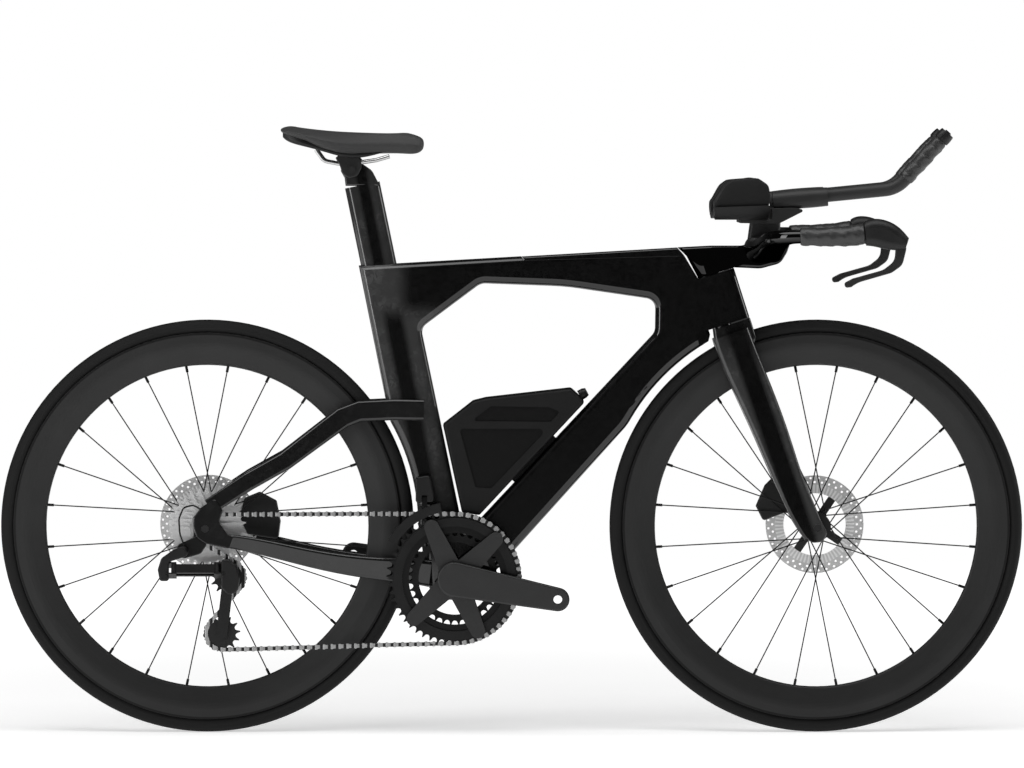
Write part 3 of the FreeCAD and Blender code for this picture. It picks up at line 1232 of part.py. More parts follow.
def route_point(distance):
    """The place of a roller, a number of links along the route."""
    for piece in CHAIN_PIECES:
        if piece[0] == "arc":
            kind, centre, radius, sense, start, sweep, step = piece
            if distance <= sweep / step:
                angle = start - sense * distance * step
                return centre + V(cos(angle), 0, sin(angle)) * radius
            distance -= sweep / step
        else:
            kind, start, way, length = piece
            if distance <= length / CHAIN_PITCH:
                return start + way * (distance * CHAIN_PITCH / length)
            distance -= length / CHAIN_PITCH
    return route_point(distance)


def seat_phase(wheel):
    """The angle of one roller on a wheel of the route, counted from the small cog."""
    passed = 0.0
    for piece in CHAIN_PIECES[:2 * wheel]:
        passed += piece[5] / piece[6] if piece[0] == "arc" else piece[3] / CHAIN_PITCH
    kind, centre, radius, sense, start, sweep, step = CHAIN_PIECES[2 * wheel]
    first = (-passed) % 1.0
    return start - sense * first * step


def chain_plate(low, thickness):
    """A waisted link plate centred on the origin, with its length along X."""
    half = CHAIN_PITCH / 2
    waist = CHAIN_PLATE_RADIUS * CHAIN_PLATE_WAIST_SHARE
    ends = [Part.makeCylinder(CHAIN_PLATE_RADIUS, thickness, V(s * half, low, 0), Y_AXIS) for s in (-1, 1)]
    middle = Part.makeBox(CHAIN_PITCH, thickness, 2 * waist, V(-half, low, -waist))
    return joined(ends + [middle])


def chain_links():
    half = CHAIN_PITCH / 2
    inner = CHAIN_INNER_WIDTH / 2
    outer = inner + CHAIN_PLATE_THICKNESS + CHAIN_PLATE_GAP
    roller_link = [chain_plate(inner, CHAIN_PLATE_THICKNESS), chain_plate(-inner - CHAIN_PLATE_THICKNESS,
                                                                          CHAIN_PLATE_THICKNESS)]
    pin_link = [chain_plate(outer, CHAIN_PLATE_THICKNESS), chain_plate(-outer - CHAIN_PLATE_THICKNESS,
                                                                       CHAIN_PLATE_THICKNESS)]
    reach = outer + CHAIN_PLATE_THICKNESS
    bores = []
    for s in (-1, 1):
        centre = V(s * half, 0, 0)
        roller_link.append(across(ROLLER_RADIUS, centre, -inner, inner))
        pin_link.append(across(CHAIN_PIN_RADIUS, centre, -reach, reach))
        bores.append(across(CHAIN_BUSH_RADIUS, centre, -reach, reach))
    return joined(roller_link).cut(bores), joined(pin_link)


def chain_plane(x):
    """The chain leads across from the small cog's plane to the big ring's plane."""
    start = REAR_AXLE.x + CHAIN_LEAD
    end = BB.x - pitch_radius(BIG_RING_TEETH) - CHAIN_PITCH
    share = (x - start) / (end - start)
    return CHAIN_COG_PLANE + (-CHAIN_LINE - CHAIN_COG_PLANE) * max(0.0, min(1.0, share))


def chain():
    kinds = chain_links()
    links = []
    for i in range(LINK_COUNT):
        start = route_point(i)
        end = route_point((i + 1) % LINK_COUNT)
        link = kinds[i % 2].copy()
        link.rotate(V(0, 0, 0), Y_AXIS, -degrees(atan2(end.z - start.z, end.x - start.x)))
        middle = (start + end) / 2
        link.translate(V(middle.x, chain_plane(middle.x), middle.z))
        links.append(link)
    return group(links)


def annular_sector(centre, inner, outer, start, end, low, high):
    def place(radius, angle):
        return V(centre.x + radius * cos(radians(angle)), low, centre.z + radius * sin(radians(angle)))

    middle = (start + end) / 2
    edges = [
        Part.Arc(place(inner, start), place(inner, middle), place(inner, end)).toShape(),
        Part.LineSegment(place(inner, end), place(outer, end)).toShape(),
        Part.Arc(place(outer, end), place(outer, middle), place(outer, start)).toShape(),
        Part.LineSegment(place(outer, start), place(inner, start)).toShape(),
    ]
    return Part.Face(Part.Wire(edges)).extrude(Y_AXIS * (high - low))


def tapered_bar(first, first_radius, second, second_radius, low, high):
    """A flat bar whose two round ends are joined by their common tangents."""
    way = V(second.x - first.x, 0, second.z - first.z)
    length = way.Length
    along = way.normalize()
    square = V(-along.z, 0, along.x)
    lean = (first_radius - second_radius) / length
    rise = sqrt(1 - lean ** 2)
    a = V(first.x, low, first.z)
    b = V(second.x, low, second.z)
    first_up = a + (along * lean + square * rise) * first_radius
    first_down = a + (along * lean - square * rise) * first_radius
    second_up = b + (along * lean + square * rise) * second_radius
    second_down = b + (along * lean - square * rise) * second_radius
    edges = [
        Part.Arc(first_up, a - along * first_radius, first_down).toShape(),
        Part.LineSegment(first_down, second_down).toShape(),
        Part.Arc(second_down, b + along * second_radius, second_up).toShape(),
        Part.LineSegment(second_up, first_up).toShape(),
    ]
    return Part.Face(Part.Wire(edges)).extrude(Y_AXIS * (high - low))


def crank_end(turn):
    angle = radians(CRANK_ANGLE + turn)
    return BB + V(cos(angle), 0, sin(angle)) * CRANK_LENGTH


def crank_arm(turn):
    """A crank arm on the right side, with its pedal hole and its hub."""
    inner = CRANK_FACE_OFFSET - CRANK_THICKNESS
    arm = tapered_bar(BB, CRANK_ROOT_RADIUS, crank_end(turn), CRANK_END_RADIUS, -CRANK_FACE_OFFSET, -inner)
    arm = arm.makeFillet(CRANK_ROUND, side_edges(arm, (-CRANK_FACE_OFFSET, -inner)))
    hub_end = BB_SHELL_WIDTH / 2 + CUP_LIP + BODY_GAP
    hub_boss = across(CRANK_HUB_RADIUS, BB, -inner - OVERRUN, -hub_end)
    body = joined([arm, hub_boss])
    low = -CRANK_FACE_OFFSET - OVERRUN
    return body.cut(across(PEDAL_HOLE_RADIUS, crank_end(turn), low, -inner + OVERRUN))


def right_crank_arm():
    inner = CRANK_FACE_OFFSET - CRANK_THICKNESS
    face = CHAIN_LINE + RING_THICKNESS / 2 + RING_FACE_HEIGHT
    arms = [crank_arm(0)]
    reach = pitch_radius(BIG_RING_TEETH) - RING_BAND + RING_FACE_BAND / 2
    for angle in SPIDER_ANGLES:
        way = radians(CRANK_ANGLE + angle)
        tip = BB + V(cos(way), 0, sin(way)) * reach
        arms.append(tapered_bar(BB, CRANK_HUB_RADIUS, tip, SPIDER_WIDTH / 2, -inner - BODY_GAP, -face))
    arms.append(across(SPINDLE_RADIUS, BB, -inner, CRANK_FACE_OFFSET))
    return joined(arms)


def left_crank_arm():
    arm = mirrored(crank_arm(180))
    return arm.cut(across(SPINDLE_RADIUS + SEAT_GAP, BB, -CRANK_FACE_OFFSET, CRANK_FACE_OFFSET + OVERRUN))


def big_chainring():
    plane = BB - Y_AXIS * CHAIN_LINE
    radius = pitch_radius(BIG_RING_TEETH)
    bore = radius - RING_BAND
    plate = toothed_disc(plane, BIG_RING_TEETH, seat_phase(1), RING_THICKNESS, bore)
    face_low = -CHAIN_LINE - RING_THICKNESS / 2 - RING_FACE_HEIGHT
    band = tube_across(bore + RING_FACE_BAND, bore, BB, face_low, -CHAIN_LINE)
    return joined([plate, band])


def small_chainring():
    line = CHAIN_LINE - RING_SPACING
    plane = BB - Y_AXIS * line
    bore = pitch_radius(SMALL_RING_TEETH) - RING_FACE_BAND
    pieces = [toothed_disc(plane, SMALL_RING_TEETH, 0.0, RING_THICKNESS, bore)]
    half = RING_THICKNESS / 2
    face = CHAIN_LINE + half + RING_FACE_HEIGHT
    for angle in SPIDER_ANGLES:
        way = radians(CRANK_ANGLE + angle)
        out = V(cos(way), 0, sin(way))
        bolt = BB + out * BOLT_CIRCLE_RADIUS
        pieces.append(tapered_bar(BB + out * (bore + half), SPIDER_WIDTH / 2, bolt, SPIDER_WIDTH / 3,
                                  -line - half, -line + half))
        pieces.append(across(CHAINRING_BOLT_RADIUS, bolt, -face, -line + half))
    return joined(pieces)


def bottom_bracket_cups():
    half = BB_SHELL_WIDTH / 2
    outer = BB_BORE_RADIUS - RUNNING_FIT
    cup = tube_across(outer, SPINDLE_RADIUS + RUNNING_FIT, BB, -half, -half + CUP_DEPTH)
    lip = tube_across(CUP_LIP_RADIUS, SPINDLE_RADIUS + RUNNING_FIT, BB, -half - CUP_LIP, -half)
    return both_sides(joined([cup, lip]))


def cassette_sprockets():
    outer = REAR_HALF - COG_FACE_INSET
    pieces = []
    for i, teeth in enumerate(COG_TEETH):
        plane = -outer + i * COG_SPACING
        phase = seat_phase(0) if i == 0 else 0.0
        pieces.append(toothed_disc(REAR_AXLE + Y_AXIS * plane, teeth, phase, COG_THICKNESS, FREEHUB_RADIUS))
    low = -outer - COG_THICKNESS / 2
    high = -outer + (len(COG_TEETH) - 1) * COG_SPACING + COG_THICKNESS / 2
    bore = HUB_END_RADIUS + RUNNING_FIT
    pieces.append(tube_across(FREEHUB_RADIUS, bore, REAR_AXLE, low, high))
    pieces.append(tube_across(FREEHUB_RADIUS, bore, REAR_AXLE, low - LOCKRING_DEPTH / 2, low))
    return group(pieces)


def drive_end():
    return -REAR_HALF + COG_FACE_INSET + (len(COG_TEETH) - 1) * COG_SPACING + COG_THICKNESS / 2 + BODY_GAP


def link_frame(shape):
    """Tilts a shape from the upright to the slant of the derailleur's links."""
    shape.rotate(link_pivot(), X_AXIS, -LINK_SLANT)
    return shape


def link_pivot():
    return at(LINK_PIVOT_PX[0], LINK_PIVOT_PX[1], LINK_PLANE)


def link_far_pivot():
    return at(LINK_FAR_PIVOT_PX[0], LINK_FAR_PIVOT_PX[1], LINK_PLANE)


def derailleur_link(side):
    half = LINK_HEIGHT / 2
    shift = Y_AXIS * (side * LINK_SPREAD / 2) - Z_AXIS * half
    start = link_pivot() + shift
    end = link_far_pivot() + shift
    rise = Z_AXIS * LINK_HEIGHT
    bar = Part.makeBox(end.x - start.x, LINK_THICKNESS, LINK_HEIGHT, start - Y_AXIS * (LINK_THICKNESS / 2))
    eyes = [cylinder(LINK_EYE_RADIUS, place, place + rise) for place in (start, end)]
    body = joined([bar] + eyes)
    for place in (start, end):
        body = body.cut(cylinder(LINK_PIN_RADIUS + RUNNING_FIT, place - rise, place + rise * 2))
    return link_frame(body)


def link_ears(pivot, way):
    """The two ears of a knuckle, above and below the links, with both pins."""
    half = LINK_HEIGHT / 2 + EAR_GAP
    wide = LINK_SPREAD / 2 + LINK_EYE_RADIUS
    reach = EAR_REACH
    pieces = []
    for side in (-1, 1):
        low = half if side > 0 else -half - EAR_THICKNESS
        start_x = -LINK_EYE_RADIUS if way > 0 else -reach
        pieces.append(Part.makeBox(reach + LINK_EYE_RADIUS, 2 * wide, EAR_THICKNESS,
                                   pivot + V(start_x, -wide, low)))
    tall = half + EAR_THICKNESS
    for side in (-1, 1):
        foot = pivot + V(0, side * LINK_SPREAD / 2, -tall)
        pieces.append(cylinder(LINK_PIN_RADIUS, foot, foot + Z_AXIS * (2 * tall)))
    return [link_frame(piece) for piece in pieces]


def derailleur_knuckle():
    body = rounded_slab(KNUCKLE_PX, KNUCKLE_OUTER, KNUCKLE_INNER, KNUCKLE_ROUND)
    head_face = KNUCKLE_OUTER - CLAMP_HEAD_HEIGHT
    bolt = across(HANGER_BOLT_HEAD_RADIUS, at(*HANGER_BOLT_PX), head_face, KNUCKLE_INNER)
    return joined([body, bolt] + link_ears(link_pivot(), -1))


def motor_knuckle():
    body = rounded_slab(MOTOR_PX, KNUCKLE_OUTER, CAGE_OUTER - BODY_GAP, KNUCKLE_ROUND)
    body = joined([body] + link_ears(link_far_pivot(), 1))
    bore = across(CAGE_PIVOT_RADIUS + RUNNING_FIT, at(*GUIDE_PX), CAGE_OUTER - CAGE_PIVOT_DEPTH - BODY_GAP,
                  CAGE_OUTER + OVERRUN)
    return body.cut(bore)


def derailleur_cage():
    guide = at(*GUIDE_PX)
    pieces = []
    for side in (-1, 1):
        inner = CHAIN_COG_PLANE + side * CAGE_HALF_GAP
        outer = inner + side * CAGE_PLATE
        low, high = sorted((inner, outer))
        plate = tapered_bar(guide, CAGE_EYE_RADIUS, TENSION, CAGE_EYE_RADIUS, low, high)
        pieces.append(plate)
    for centre in (guide, TENSION):
        pieces.append(across(PULLEY_BORE_RADIUS, centre, CHAIN_COG_PLANE - CAGE_HALF_GAP - CAGE_PLATE,
                             CHAIN_COG_PLANE + CAGE_HALF_GAP + CAGE_PLATE))
    pieces.append(across(CAGE_PIVOT_RADIUS, guide, CAGE_OUTER - CAGE_PIVOT_DEPTH, CAGE_OUTER))
    return joined(pieces)


def pulley(centre, wheel):
    plane = V(centre.x, CHAIN_COG_PLANE, centre.z)
    bore = PULLEY_BORE_RADIUS + RUNNING_FIT
    plate = toothed_disc(plane, PULLEY_TEETH, seat_phase(wheel), PULLEY_THICKNESS, bore)
    reach = CAGE_HALF_GAP - BODY_GAP
    return joined([plate, tube_across(PULLEY_HUB_RADIUS, bore, plane, CHAIN_COG_PLANE - reach,
                                      CHAIN_COG_PLANE + reach)])


def front_derailleur_body(front):
    outer = -HALF_FRAME - FD_BODY_DEPTH
    body = rounded_slab(FD_BODY_PX, outer, -HALF_FRAME + FD_SINK, FD_ROUND)
    pivot = V(FD_PIVOT.x, 0, FD_PIVOT.z)
    body.translate(pivot - at(*FD_PIVOT_PX))
    half = FD_LINK_WIDTH / 2 + BODY_GAP
    slot = Part.makeBox(2 * half, FD_BODY_DEPTH, FD_LINK_LENGTH + FD_EYE_RADIUS,
                        V(pivot.x - half, outer - OVERRUN, pivot.z + FD_EYE_RADIUS + BODY_GAP
                          - FD_LINK_LENGTH - FD_EYE_RADIUS))
    pin_half = FD_LINK_WIDTH / 2 + FD_EYE_RADIUS
    pin = cylinder(FD_PIN_RADIUS, FD_PIVOT - X_AXIS * pin_half, FD_PIVOT + X_AXIS * pin_half)
    body = joined([body.cut(slot), pin]).cut(front)
    return max(body.Solids, key=lambda solid: solid.Volume)


def front_derailleur_link():
    half = X_AXIS * (FD_LINK_WIDTH / 2)
    eyes = [cylinder(FD_EYE_RADIUS, centre - half, centre + half) for centre in (FD_PIVOT, FD_CAGE_PIVOT)]
    way = (FD_CAGE_PIVOT - FD_PIVOT).normalize()
    wide = way.cross(X_AXIS) * FD_EYE_RADIUS
    corners = [FD_PIVOT - half - wide, FD_PIVOT - half + wide]
    corners += [FD_CAGE_PIVOT - half + wide, FD_CAGE_PIVOT - half - wide]
    web = Part.Face(rounded_wire(corners, [0, 0, 0, 0])).extrude(half * 2)
    body = joined(eyes + [web])
    for centre in (FD_PIVOT, FD_CAGE_PIVOT):
        body = body.cut(cylinder(FD_PIN_RADIUS + RUNNING_FIT, centre - half * 2, centre + half * 2))
    return body


def front_derailleur_cage():
    radius = pitch_radius(BIG_RING_TEETH) + TOOTH_HEIGHT + FD_CAGE_CLEARANCE
    top = radius + FD_CAGE_HEIGHT
    low = -CHAIN_LINE - FD_CAGE_HALF_GAP - FD_CAGE_PLATE
    high = -CHAIN_LINE + FD_CAGE_HALF_GAP + FD_CAGE_PLATE
    pieces = []
    for start in (low, high - FD_CAGE_PLATE):
        end = start + FD_CAGE_PLATE
        pieces.append(annular_sector(BB, radius, top, FD_CAGE_START, FD_CAGE_END, start, end))
    bridge = top - FD_BRIDGE_THICKNESS
    tail = FD_CAGE_END - FD_BRIDGE_ANGLE
    pieces.append(annular_sector(BB, bridge, top, tail, FD_CAGE_END, low, high))
    bridge_end = FD_CAGE_START + 2 * FD_BRIDGE_ANGLE
    pieces.append(annular_sector(BB, bridge, top, FD_CAGE_START, bridge_end, low, high))
    half = FD_LINK_WIDTH / 2 + BODY_GAP
    for side in (-1, 1):
        inner = FD_CAGE_PIVOT + X_AXIS * (side * half)
        outer = inner + X_AXIS * (side * FD_EYE_RADIUS)
        ear = cylinder(FD_EYE_RADIUS, inner, outer)
        start_x = min(inner.x, outer.x)
        foot = Part.makeBox(FD_EYE_RADIUS, high - low, 2 * FD_EYE_RADIUS,
                            V(start_x, low, FD_CAGE_PIVOT.z - 2 * FD_EYE_RADIUS))
        pieces.append(ear.fuse(foot.cut(across(bridge, BB, -CRANK_FACE_OFFSET, 0))))
    pin_half = half + FD_EYE_RADIUS
    reach = X_AXIS * pin_half
    pieces.append(cylinder(FD_PIN_RADIUS, FD_CAGE_PIVOT - reach, FD_CAGE_PIVOT + reach))
    return joined(pieces)


def build():
    front = front_triangle()
    rear = rear_triangle(front)
    rails = saddle_rails()
    cover = saddle_cover()
    clamp = saddle_clamp(rails)
    bottle = bottle_body(front)
    fork_body = fork()
    bar = base_bar()
    extension = bent_wire(EXTENSION_PX, -EXTENSION_SPACING / 2, EXTENSION_RADIUS)
    riser = bar_riser(bar, extension)
    grips = [extension_tube(EXTENSION_GRIP_PX, 1.0).cut(extension), bar_grip(bar)]
    lever = brake_lever()
    button = button_body(BUTTON_RADIUS, BUTTON_ROOT, BUTTON_HEIGHT)
    knuckle = derailleur_knuckle()
    wire = bent_wire(WIRE_PX, WIRE_PLANE, WIRE_RADIUS).cut(rear).cut(knuckle)
    rear_pad_px = round_rotor(REAR_PAD_PX, REAR_AXLE_PX)
    front_pad_px = round_rotor(FRONT_PAD_PX, FRONT_AXLE_PX)
    outline_px = round_rotor(REAR_CALIPER_PX, REAR_AXLE_PX)
    rear_caliper = caliper(outline_px, rear_pad_px, REAR_AXLE, REAR_ROTOR_PLANE).cut(rear)
    outline_px = round_rotor(FRONT_CALIPER_PX, FRONT_AXLE_PX)
    front_caliper = caliper(outline_px, front_pad_px, FRONT_AXLE, FRONT_ROTOR_PLANE).cut(fork_body)
    front_right_end = -FRONT_HALF + BODY_GAP
    nodes = {
        "front_triangle": front,
        "rear_triangle": rear,
        "top_tube_cover": top_tube_cover(),
        "headset_bearings": headset_bearings(),
        "bottom_bracket_cups": bottom_bracket_cups(),
        "seatpost": seatpost(clamp),
        "saddle_clamp": clamp,
        "saddle_rails": rails,
        "saddle_shell": saddle_shell(cover, rails, clamp),
        "saddle_cover": cover,
        "bottle_body": bottle,
        "bottle_cap": bottle_cap(bottle),
        "derailleur_knuckle": knuckle,
        "derailleur_outer_link": derailleur_link(-1),
        "derailleur_inner_link": derailleur_link(1),
        "derailleur_motor_knuckle": motor_knuckle(),
        "derailleur_cage": derailleur_cage(),
        "guide_pulley": pulley(at(*GUIDE_PX), 3),
        "tension_pulley": pulley(TENSION, 2),
        "derailleur_wire": wire,
        "front_derailleur_body": front_derailleur_body(front),
        "front_derailleur_link": front_derailleur_link(),
        "front_derailleur_cage": front_derailleur_cage(),
        "right_crank_arm": right_crank_arm(),
        "left_crank_arm": left_crank_arm(),
        "big_chainring": big_chainring(),
        "small_chainring": small_chainring(),
        "chain": chain(),
        "cassette_sprockets": cassette_sprockets(),
        "rear_hub": hub(REAR_AXLE, REAR_LEFT_FLANGE, REAR_RIGHT_FLANGE, REAR_HALF - BODY_GAP,
                        -REAR_HALF + BODY_GAP, drive_end()),
        "rear_rim": rim(REAR_AXLE),
        "rear_tyre": tyre(REAR_AXLE),
        "rear_spokes": spokes(REAR_AXLE, REAR_LEFT_FLANGE, REAR_RIGHT_FLANGE),
        "rear_rotor": rotor(REAR_AXLE, REAR_ROTOR_PLANE),
        "rear_caliper": max(rear_caliper.Solids, key=lambda solid: solid.Volume),
        "rear_inner_pad": brake_pad(rear_pad_px, REAR_ROTOR_PLANE, -1),
        "rear_outer_pad": brake_pad(rear_pad_px, REAR_ROTOR_PLANE, 1),
        "rear_thru_axle": thru_axle(REAR_AXLE, REAR_HALF, DROPOUT_THICKNESS),
        "fork": fork_body,
        "base_bar": bar,
        "bar_riser": riser,
        "armrest_cups": both_sides(armrest_cup()),
        "armrest_pads": both_sides(armrest_pad()),
        "extensions": both_sides(extension),
        "shifter_pods": both_sides(shifter_pod()),
        "grip_tape": both_sides(group(grips)),
        "lever_housings": both_sides(lever_housing(bar)),
        "right_brake_lever": lever,
        "left_brake_lever": mirrored(lever),
        "right_shift_button": button,
        "left_shift_button": mirrored(button),
        "front_hub": hub(FRONT_AXLE, FRONT_LEFT_FLANGE, FRONT_RIGHT_FLANGE, FRONT_HALF - BODY_GAP,
                         front_right_end, front_right_end + HUB_ROUND),
        "front_rim": rim(FRONT_AXLE),
        "front_tyre": tyre(FRONT_AXLE),
        "front_spokes": spokes(FRONT_AXLE, FRONT_LEFT_FLANGE, FRONT_RIGHT_FLANGE),
        "front_rotor": rotor(FRONT_AXLE, FRONT_ROTOR_PLANE),
        "front_caliper": max(front_caliper.Solids, key=lambda solid: solid.Volume),
        "front_inner_pad": brake_pad(front_pad_px, FRONT_ROTOR_PLANE, -1),
        "front_outer_pad": brake_pad(front_pad_px, FRONT_ROTOR_PLANE, 1),
        "front_thru_axle": thru_axle(FRONT_AXLE, FRONT_HALF, FORK_TIP_THICKNESS),
    }
    return nodes


os.makedirs("parts", exist_ok=True)
for name, shape in build().items():
    shape.exportStep("parts/" + name + ".step")
    print(name, len(shape.Solids), shape.isValid(), round(shape.Volume))
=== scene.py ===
# %% [markdown]
# # A time trial bike in a white studio
# The bike's solids come packed from CAD, one object for each piece, all in metres and already in place.
# This lesson dresses them: every solid gets a finish made of shader nodes, and the soft pieces (saddle,
# arm pads, bar tape) are modelled anew, because foam and cloth don't look like CAD solids.

# %% Load the solids
import math
import bpy
import numpy as np
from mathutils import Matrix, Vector


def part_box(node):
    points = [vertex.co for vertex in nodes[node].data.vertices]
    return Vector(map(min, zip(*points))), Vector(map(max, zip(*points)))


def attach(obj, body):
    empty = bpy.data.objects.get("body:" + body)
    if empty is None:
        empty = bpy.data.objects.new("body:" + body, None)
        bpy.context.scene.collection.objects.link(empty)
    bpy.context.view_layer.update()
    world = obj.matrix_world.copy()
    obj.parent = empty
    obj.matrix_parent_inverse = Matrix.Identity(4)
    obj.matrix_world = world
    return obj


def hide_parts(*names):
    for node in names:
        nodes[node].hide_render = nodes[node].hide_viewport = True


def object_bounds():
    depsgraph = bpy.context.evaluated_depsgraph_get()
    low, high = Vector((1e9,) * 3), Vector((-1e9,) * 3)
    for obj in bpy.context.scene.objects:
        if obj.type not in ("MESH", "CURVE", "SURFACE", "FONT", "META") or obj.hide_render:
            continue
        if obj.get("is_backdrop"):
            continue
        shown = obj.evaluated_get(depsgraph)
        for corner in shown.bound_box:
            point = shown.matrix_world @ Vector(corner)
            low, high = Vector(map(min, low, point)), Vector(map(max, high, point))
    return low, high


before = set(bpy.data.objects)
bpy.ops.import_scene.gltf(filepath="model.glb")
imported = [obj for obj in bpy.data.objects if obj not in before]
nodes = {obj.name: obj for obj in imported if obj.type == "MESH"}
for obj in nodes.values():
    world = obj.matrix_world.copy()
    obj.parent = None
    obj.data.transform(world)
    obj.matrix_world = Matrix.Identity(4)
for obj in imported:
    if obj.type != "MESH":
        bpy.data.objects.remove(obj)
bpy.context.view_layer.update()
scene = bpy.context.scene

# %% [markdown]
# ## Camera
# The picture is a side view from far away with a long lens, a little above the hubs. A long lens keeps
# both wheels round and the same size. One pixel of the picture covers 1.627 mm at the bike, so the lens
# follows from the distance and the image width.

# %% Place the camera
PIXEL = 0.001627
IMAGE_WIDTH = 1024
IMAGE_HEIGHT = 768
MIDDLE_COLUMN = 511.6
AXLE_ROW = 526.0
AXLE_HEIGHT = 0.336
CAMERA_DISTANCE = 10.0
CAMERA_RISE = math.radians(2.2)
CAMERA_REACH = 300


def at_pixel(px, py, across=0.0):
    """The point of the bike's middle plane, or one beside it, that a pixel of the picture shows."""
    return Vector(((px - MIDDLE_COLUMN) * PIXEL, across, AXLE_HEIGHT + (AXLE_ROW - py) * PIXEL))


target = at_pixel(IMAGE_WIDTH / 2, IMAGE_HEIGHT / 2)
away = Vector((0, -math.cos(CAMERA_RISE), math.sin(CAMERA_RISE)))
bpy.ops.object.camera_add(location=target + away * CAMERA_DISTANCE,
                          rotation=(math.pi / 2 - CAMERA_RISE, 0, 0))
camera = bpy.context.object
camera.data.lens = camera.data.sensor_width * CAMERA_DISTANCE / (IMAGE_WIDTH * PIXEL)
camera.data.clip_end = CAMERA_REACH
scene.camera = camera
print("camera lens:", round(camera.data.lens, 1), "mm")

# %% [markdown]
# ## Writing shader maths as Python
# Nodes are quick to link by hand and slow to read in code. One small class wraps a socket, so that
# `1 - mask * 0.5` adds the Math nodes for us, and its `node` method adds any other node.

# %% A socket that Python can calculate with
class Value:
    """One socket of a node tree."""

    def __init__(self, tree, socket=None):
        self.tree = tree
        self.socket = socket

    def feed(self, value, socket):
        """Links a Value to a socket, or sets a number or a colour there."""
        if isinstance(value, Value):
            self.tree.links.new(value.socket, socket)
        else:
            socket.default_value = value

    def node(self, kind, settings=(), sockets=(), output=0):
        """Adds a node: its type, its settings, then the values or links of its sockets."""
        made = self.tree.nodes.new("ShaderNode" + kind)
        for name, setting in dict(settings).items():
            setattr(made, name, setting)
        for name, value in dict(sockets).items():
            self.feed(value, made.inputs[name])
        return Value(self.tree, made.outputs[output])

    def maths(self, operation, *values):
        return self.node("Math", {"operation": operation}, dict(enumerate(values)))

    def __add__(self, other):
        return self.maths("ADD", self, other)

    def __radd__(self, other):
        return self.maths("ADD", other, self)

    def __sub__(self, other):
        return self.maths("SUBTRACT", self, other)

    def __rsub__(self, other):
        return self.maths("SUBTRACT", other, self)

    def __mul__(self, other):
        return self.maths("MULTIPLY", self, other)

    def __rmul__(self, other):
        return self.maths("MULTIPLY", other, self)

    def __pow__(self, other):
        return self.maths("POWER", self, other)

    def __abs__(self):
        return self.maths("ABSOLUTE", self)

    def sine(self):
        return self.maths("SINE", self)

    def fade(self, low, high):
        """0 at low and 1 at high, with soft ends."""
        return self.node("MapRange", {"interpolation_type": "SMOOTHSTEP"},
                         {"Value": self, "From Min": low, "From Max": high})

    def mix(self, first, second):
        """The first colour where this is 0, the second where it is 1."""
        return self.node("Mix", {"data_type": "RGBA"}, {0: self, 6: first, 7: second}, 2)

    def split(self):
        """The x, y and z of a vector, or the red, green and blue of a colour."""
        made = self.node("SeparateXYZ", {}, {0: self})
        return [Value(self.tree, socket) for socket in made.socket.node.outputs]

    def noise(self, scale, detail=2.0, output=0):
        return self.node("TexNoise", {}, {"Vector": self, "Scale": scale, "Detail": detail}, output)

    def stretched(self, x, y, z):
        return self.node("VectorMath", {"operation": "MULTIPLY"}, {0: self, 1: (x, y, z)})

    def bump(self, strength, distance):
        return self.node("Bump", {}, {"Height": self, "Strength": strength, "Distance": distance})


# %% [markdown]
# ## Helpers for finishes
# Each finish starts as a blank material that reads Object coordinates. They are metres on the bike, so a
# scale means the same on every piece. A UV map would do too, but it would need seams on every mesh.

# %% Start, finish and assign a material
def grey(level):
    """A neutral colour from the 0 to 255 level that it has on a screen."""
    tone = (level / 255) ** 2.2
    return (tone, tone, tone, 1.0)


def blank(name):
    """A new material, and its Object coordinates to start from."""
    material = bpy.data.materials.new(name)
    material.use_nodes = True
    return material, Value(material.node_tree).node("TexCoord", output="Object")


def finish_with(material, sockets):
    """Sets or links sockets of the material's shader."""
    start = Value(material.node_tree)
    shader = material.node_tree.nodes["Principled BSDF"]
    for name, value in sockets.items():
        start.feed(value, shader.inputs[name])
    return material


def dress(material, *names):
    """Gives CAD nodes a finish."""
    for name in names:
        nodes[name].data.materials.clear()
        nodes[name].data.materials.append(material)
    print(material.name, "on", ", ".join(names))


# %% [markdown]
# ## Studio
# A black bike is drawn by what it mirrors. The background is white for the camera, but the room that the
# paint mirrors is dark, with three large soft boxes: one overhead for the upper edges and two upright ones
# for the edges of the tubes. The floor is a round sheet that glows to white at its rim, so it has no
# horizon, and it ends before the flat sides of the frame could mirror it. That keeps the black deep.

# %% Floor
FLOOR_RADIUS = 4.2
FLOOR_POINTS = 128
GLOW_START = 0.5
GLOW_END = 3.2
bpy.ops.mesh.primitive_circle_add(vertices=FLOOR_POINTS, radius=FLOOR_RADIUS, fill_type="NGON")
floor = bpy.context.object
floor.name = "floor"
floor_paint, floor_spot = blank("pale floor")
floor_x, floor_y = floor_spot.split()[:2]
distance = (floor_x * floor_x + floor_y * floor_y) ** 0.5
glow = distance.fade(GLOW_START, GLOW_END).mix(grey(190), grey(255))
floor_tone = floor_spot.noise(3.0).mix(grey(232), grey(238))
finish_with(floor_paint, {"Base Color": floor_tone, "Roughness": 0.9, "Emission Color": glow,
                          "Emission Strength": 1.0})
floor.data.materials.append(floor_paint)
floor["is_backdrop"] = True
print("floor radius:", FLOOR_RADIUS, "m")

# %% Room
world = bpy.data.worlds.new("studio")
world.use_nodes = True
scene.world = world
room = Value(world.node_tree)
seen = room.node("LightPath", output="Is Camera Ray")
room.feed(seen.mix(grey(58), grey(255)), world.node_tree.nodes["Background"].inputs["Color"])
scene.view_settings.view_transform = "Standard"
print("room:", world.name)


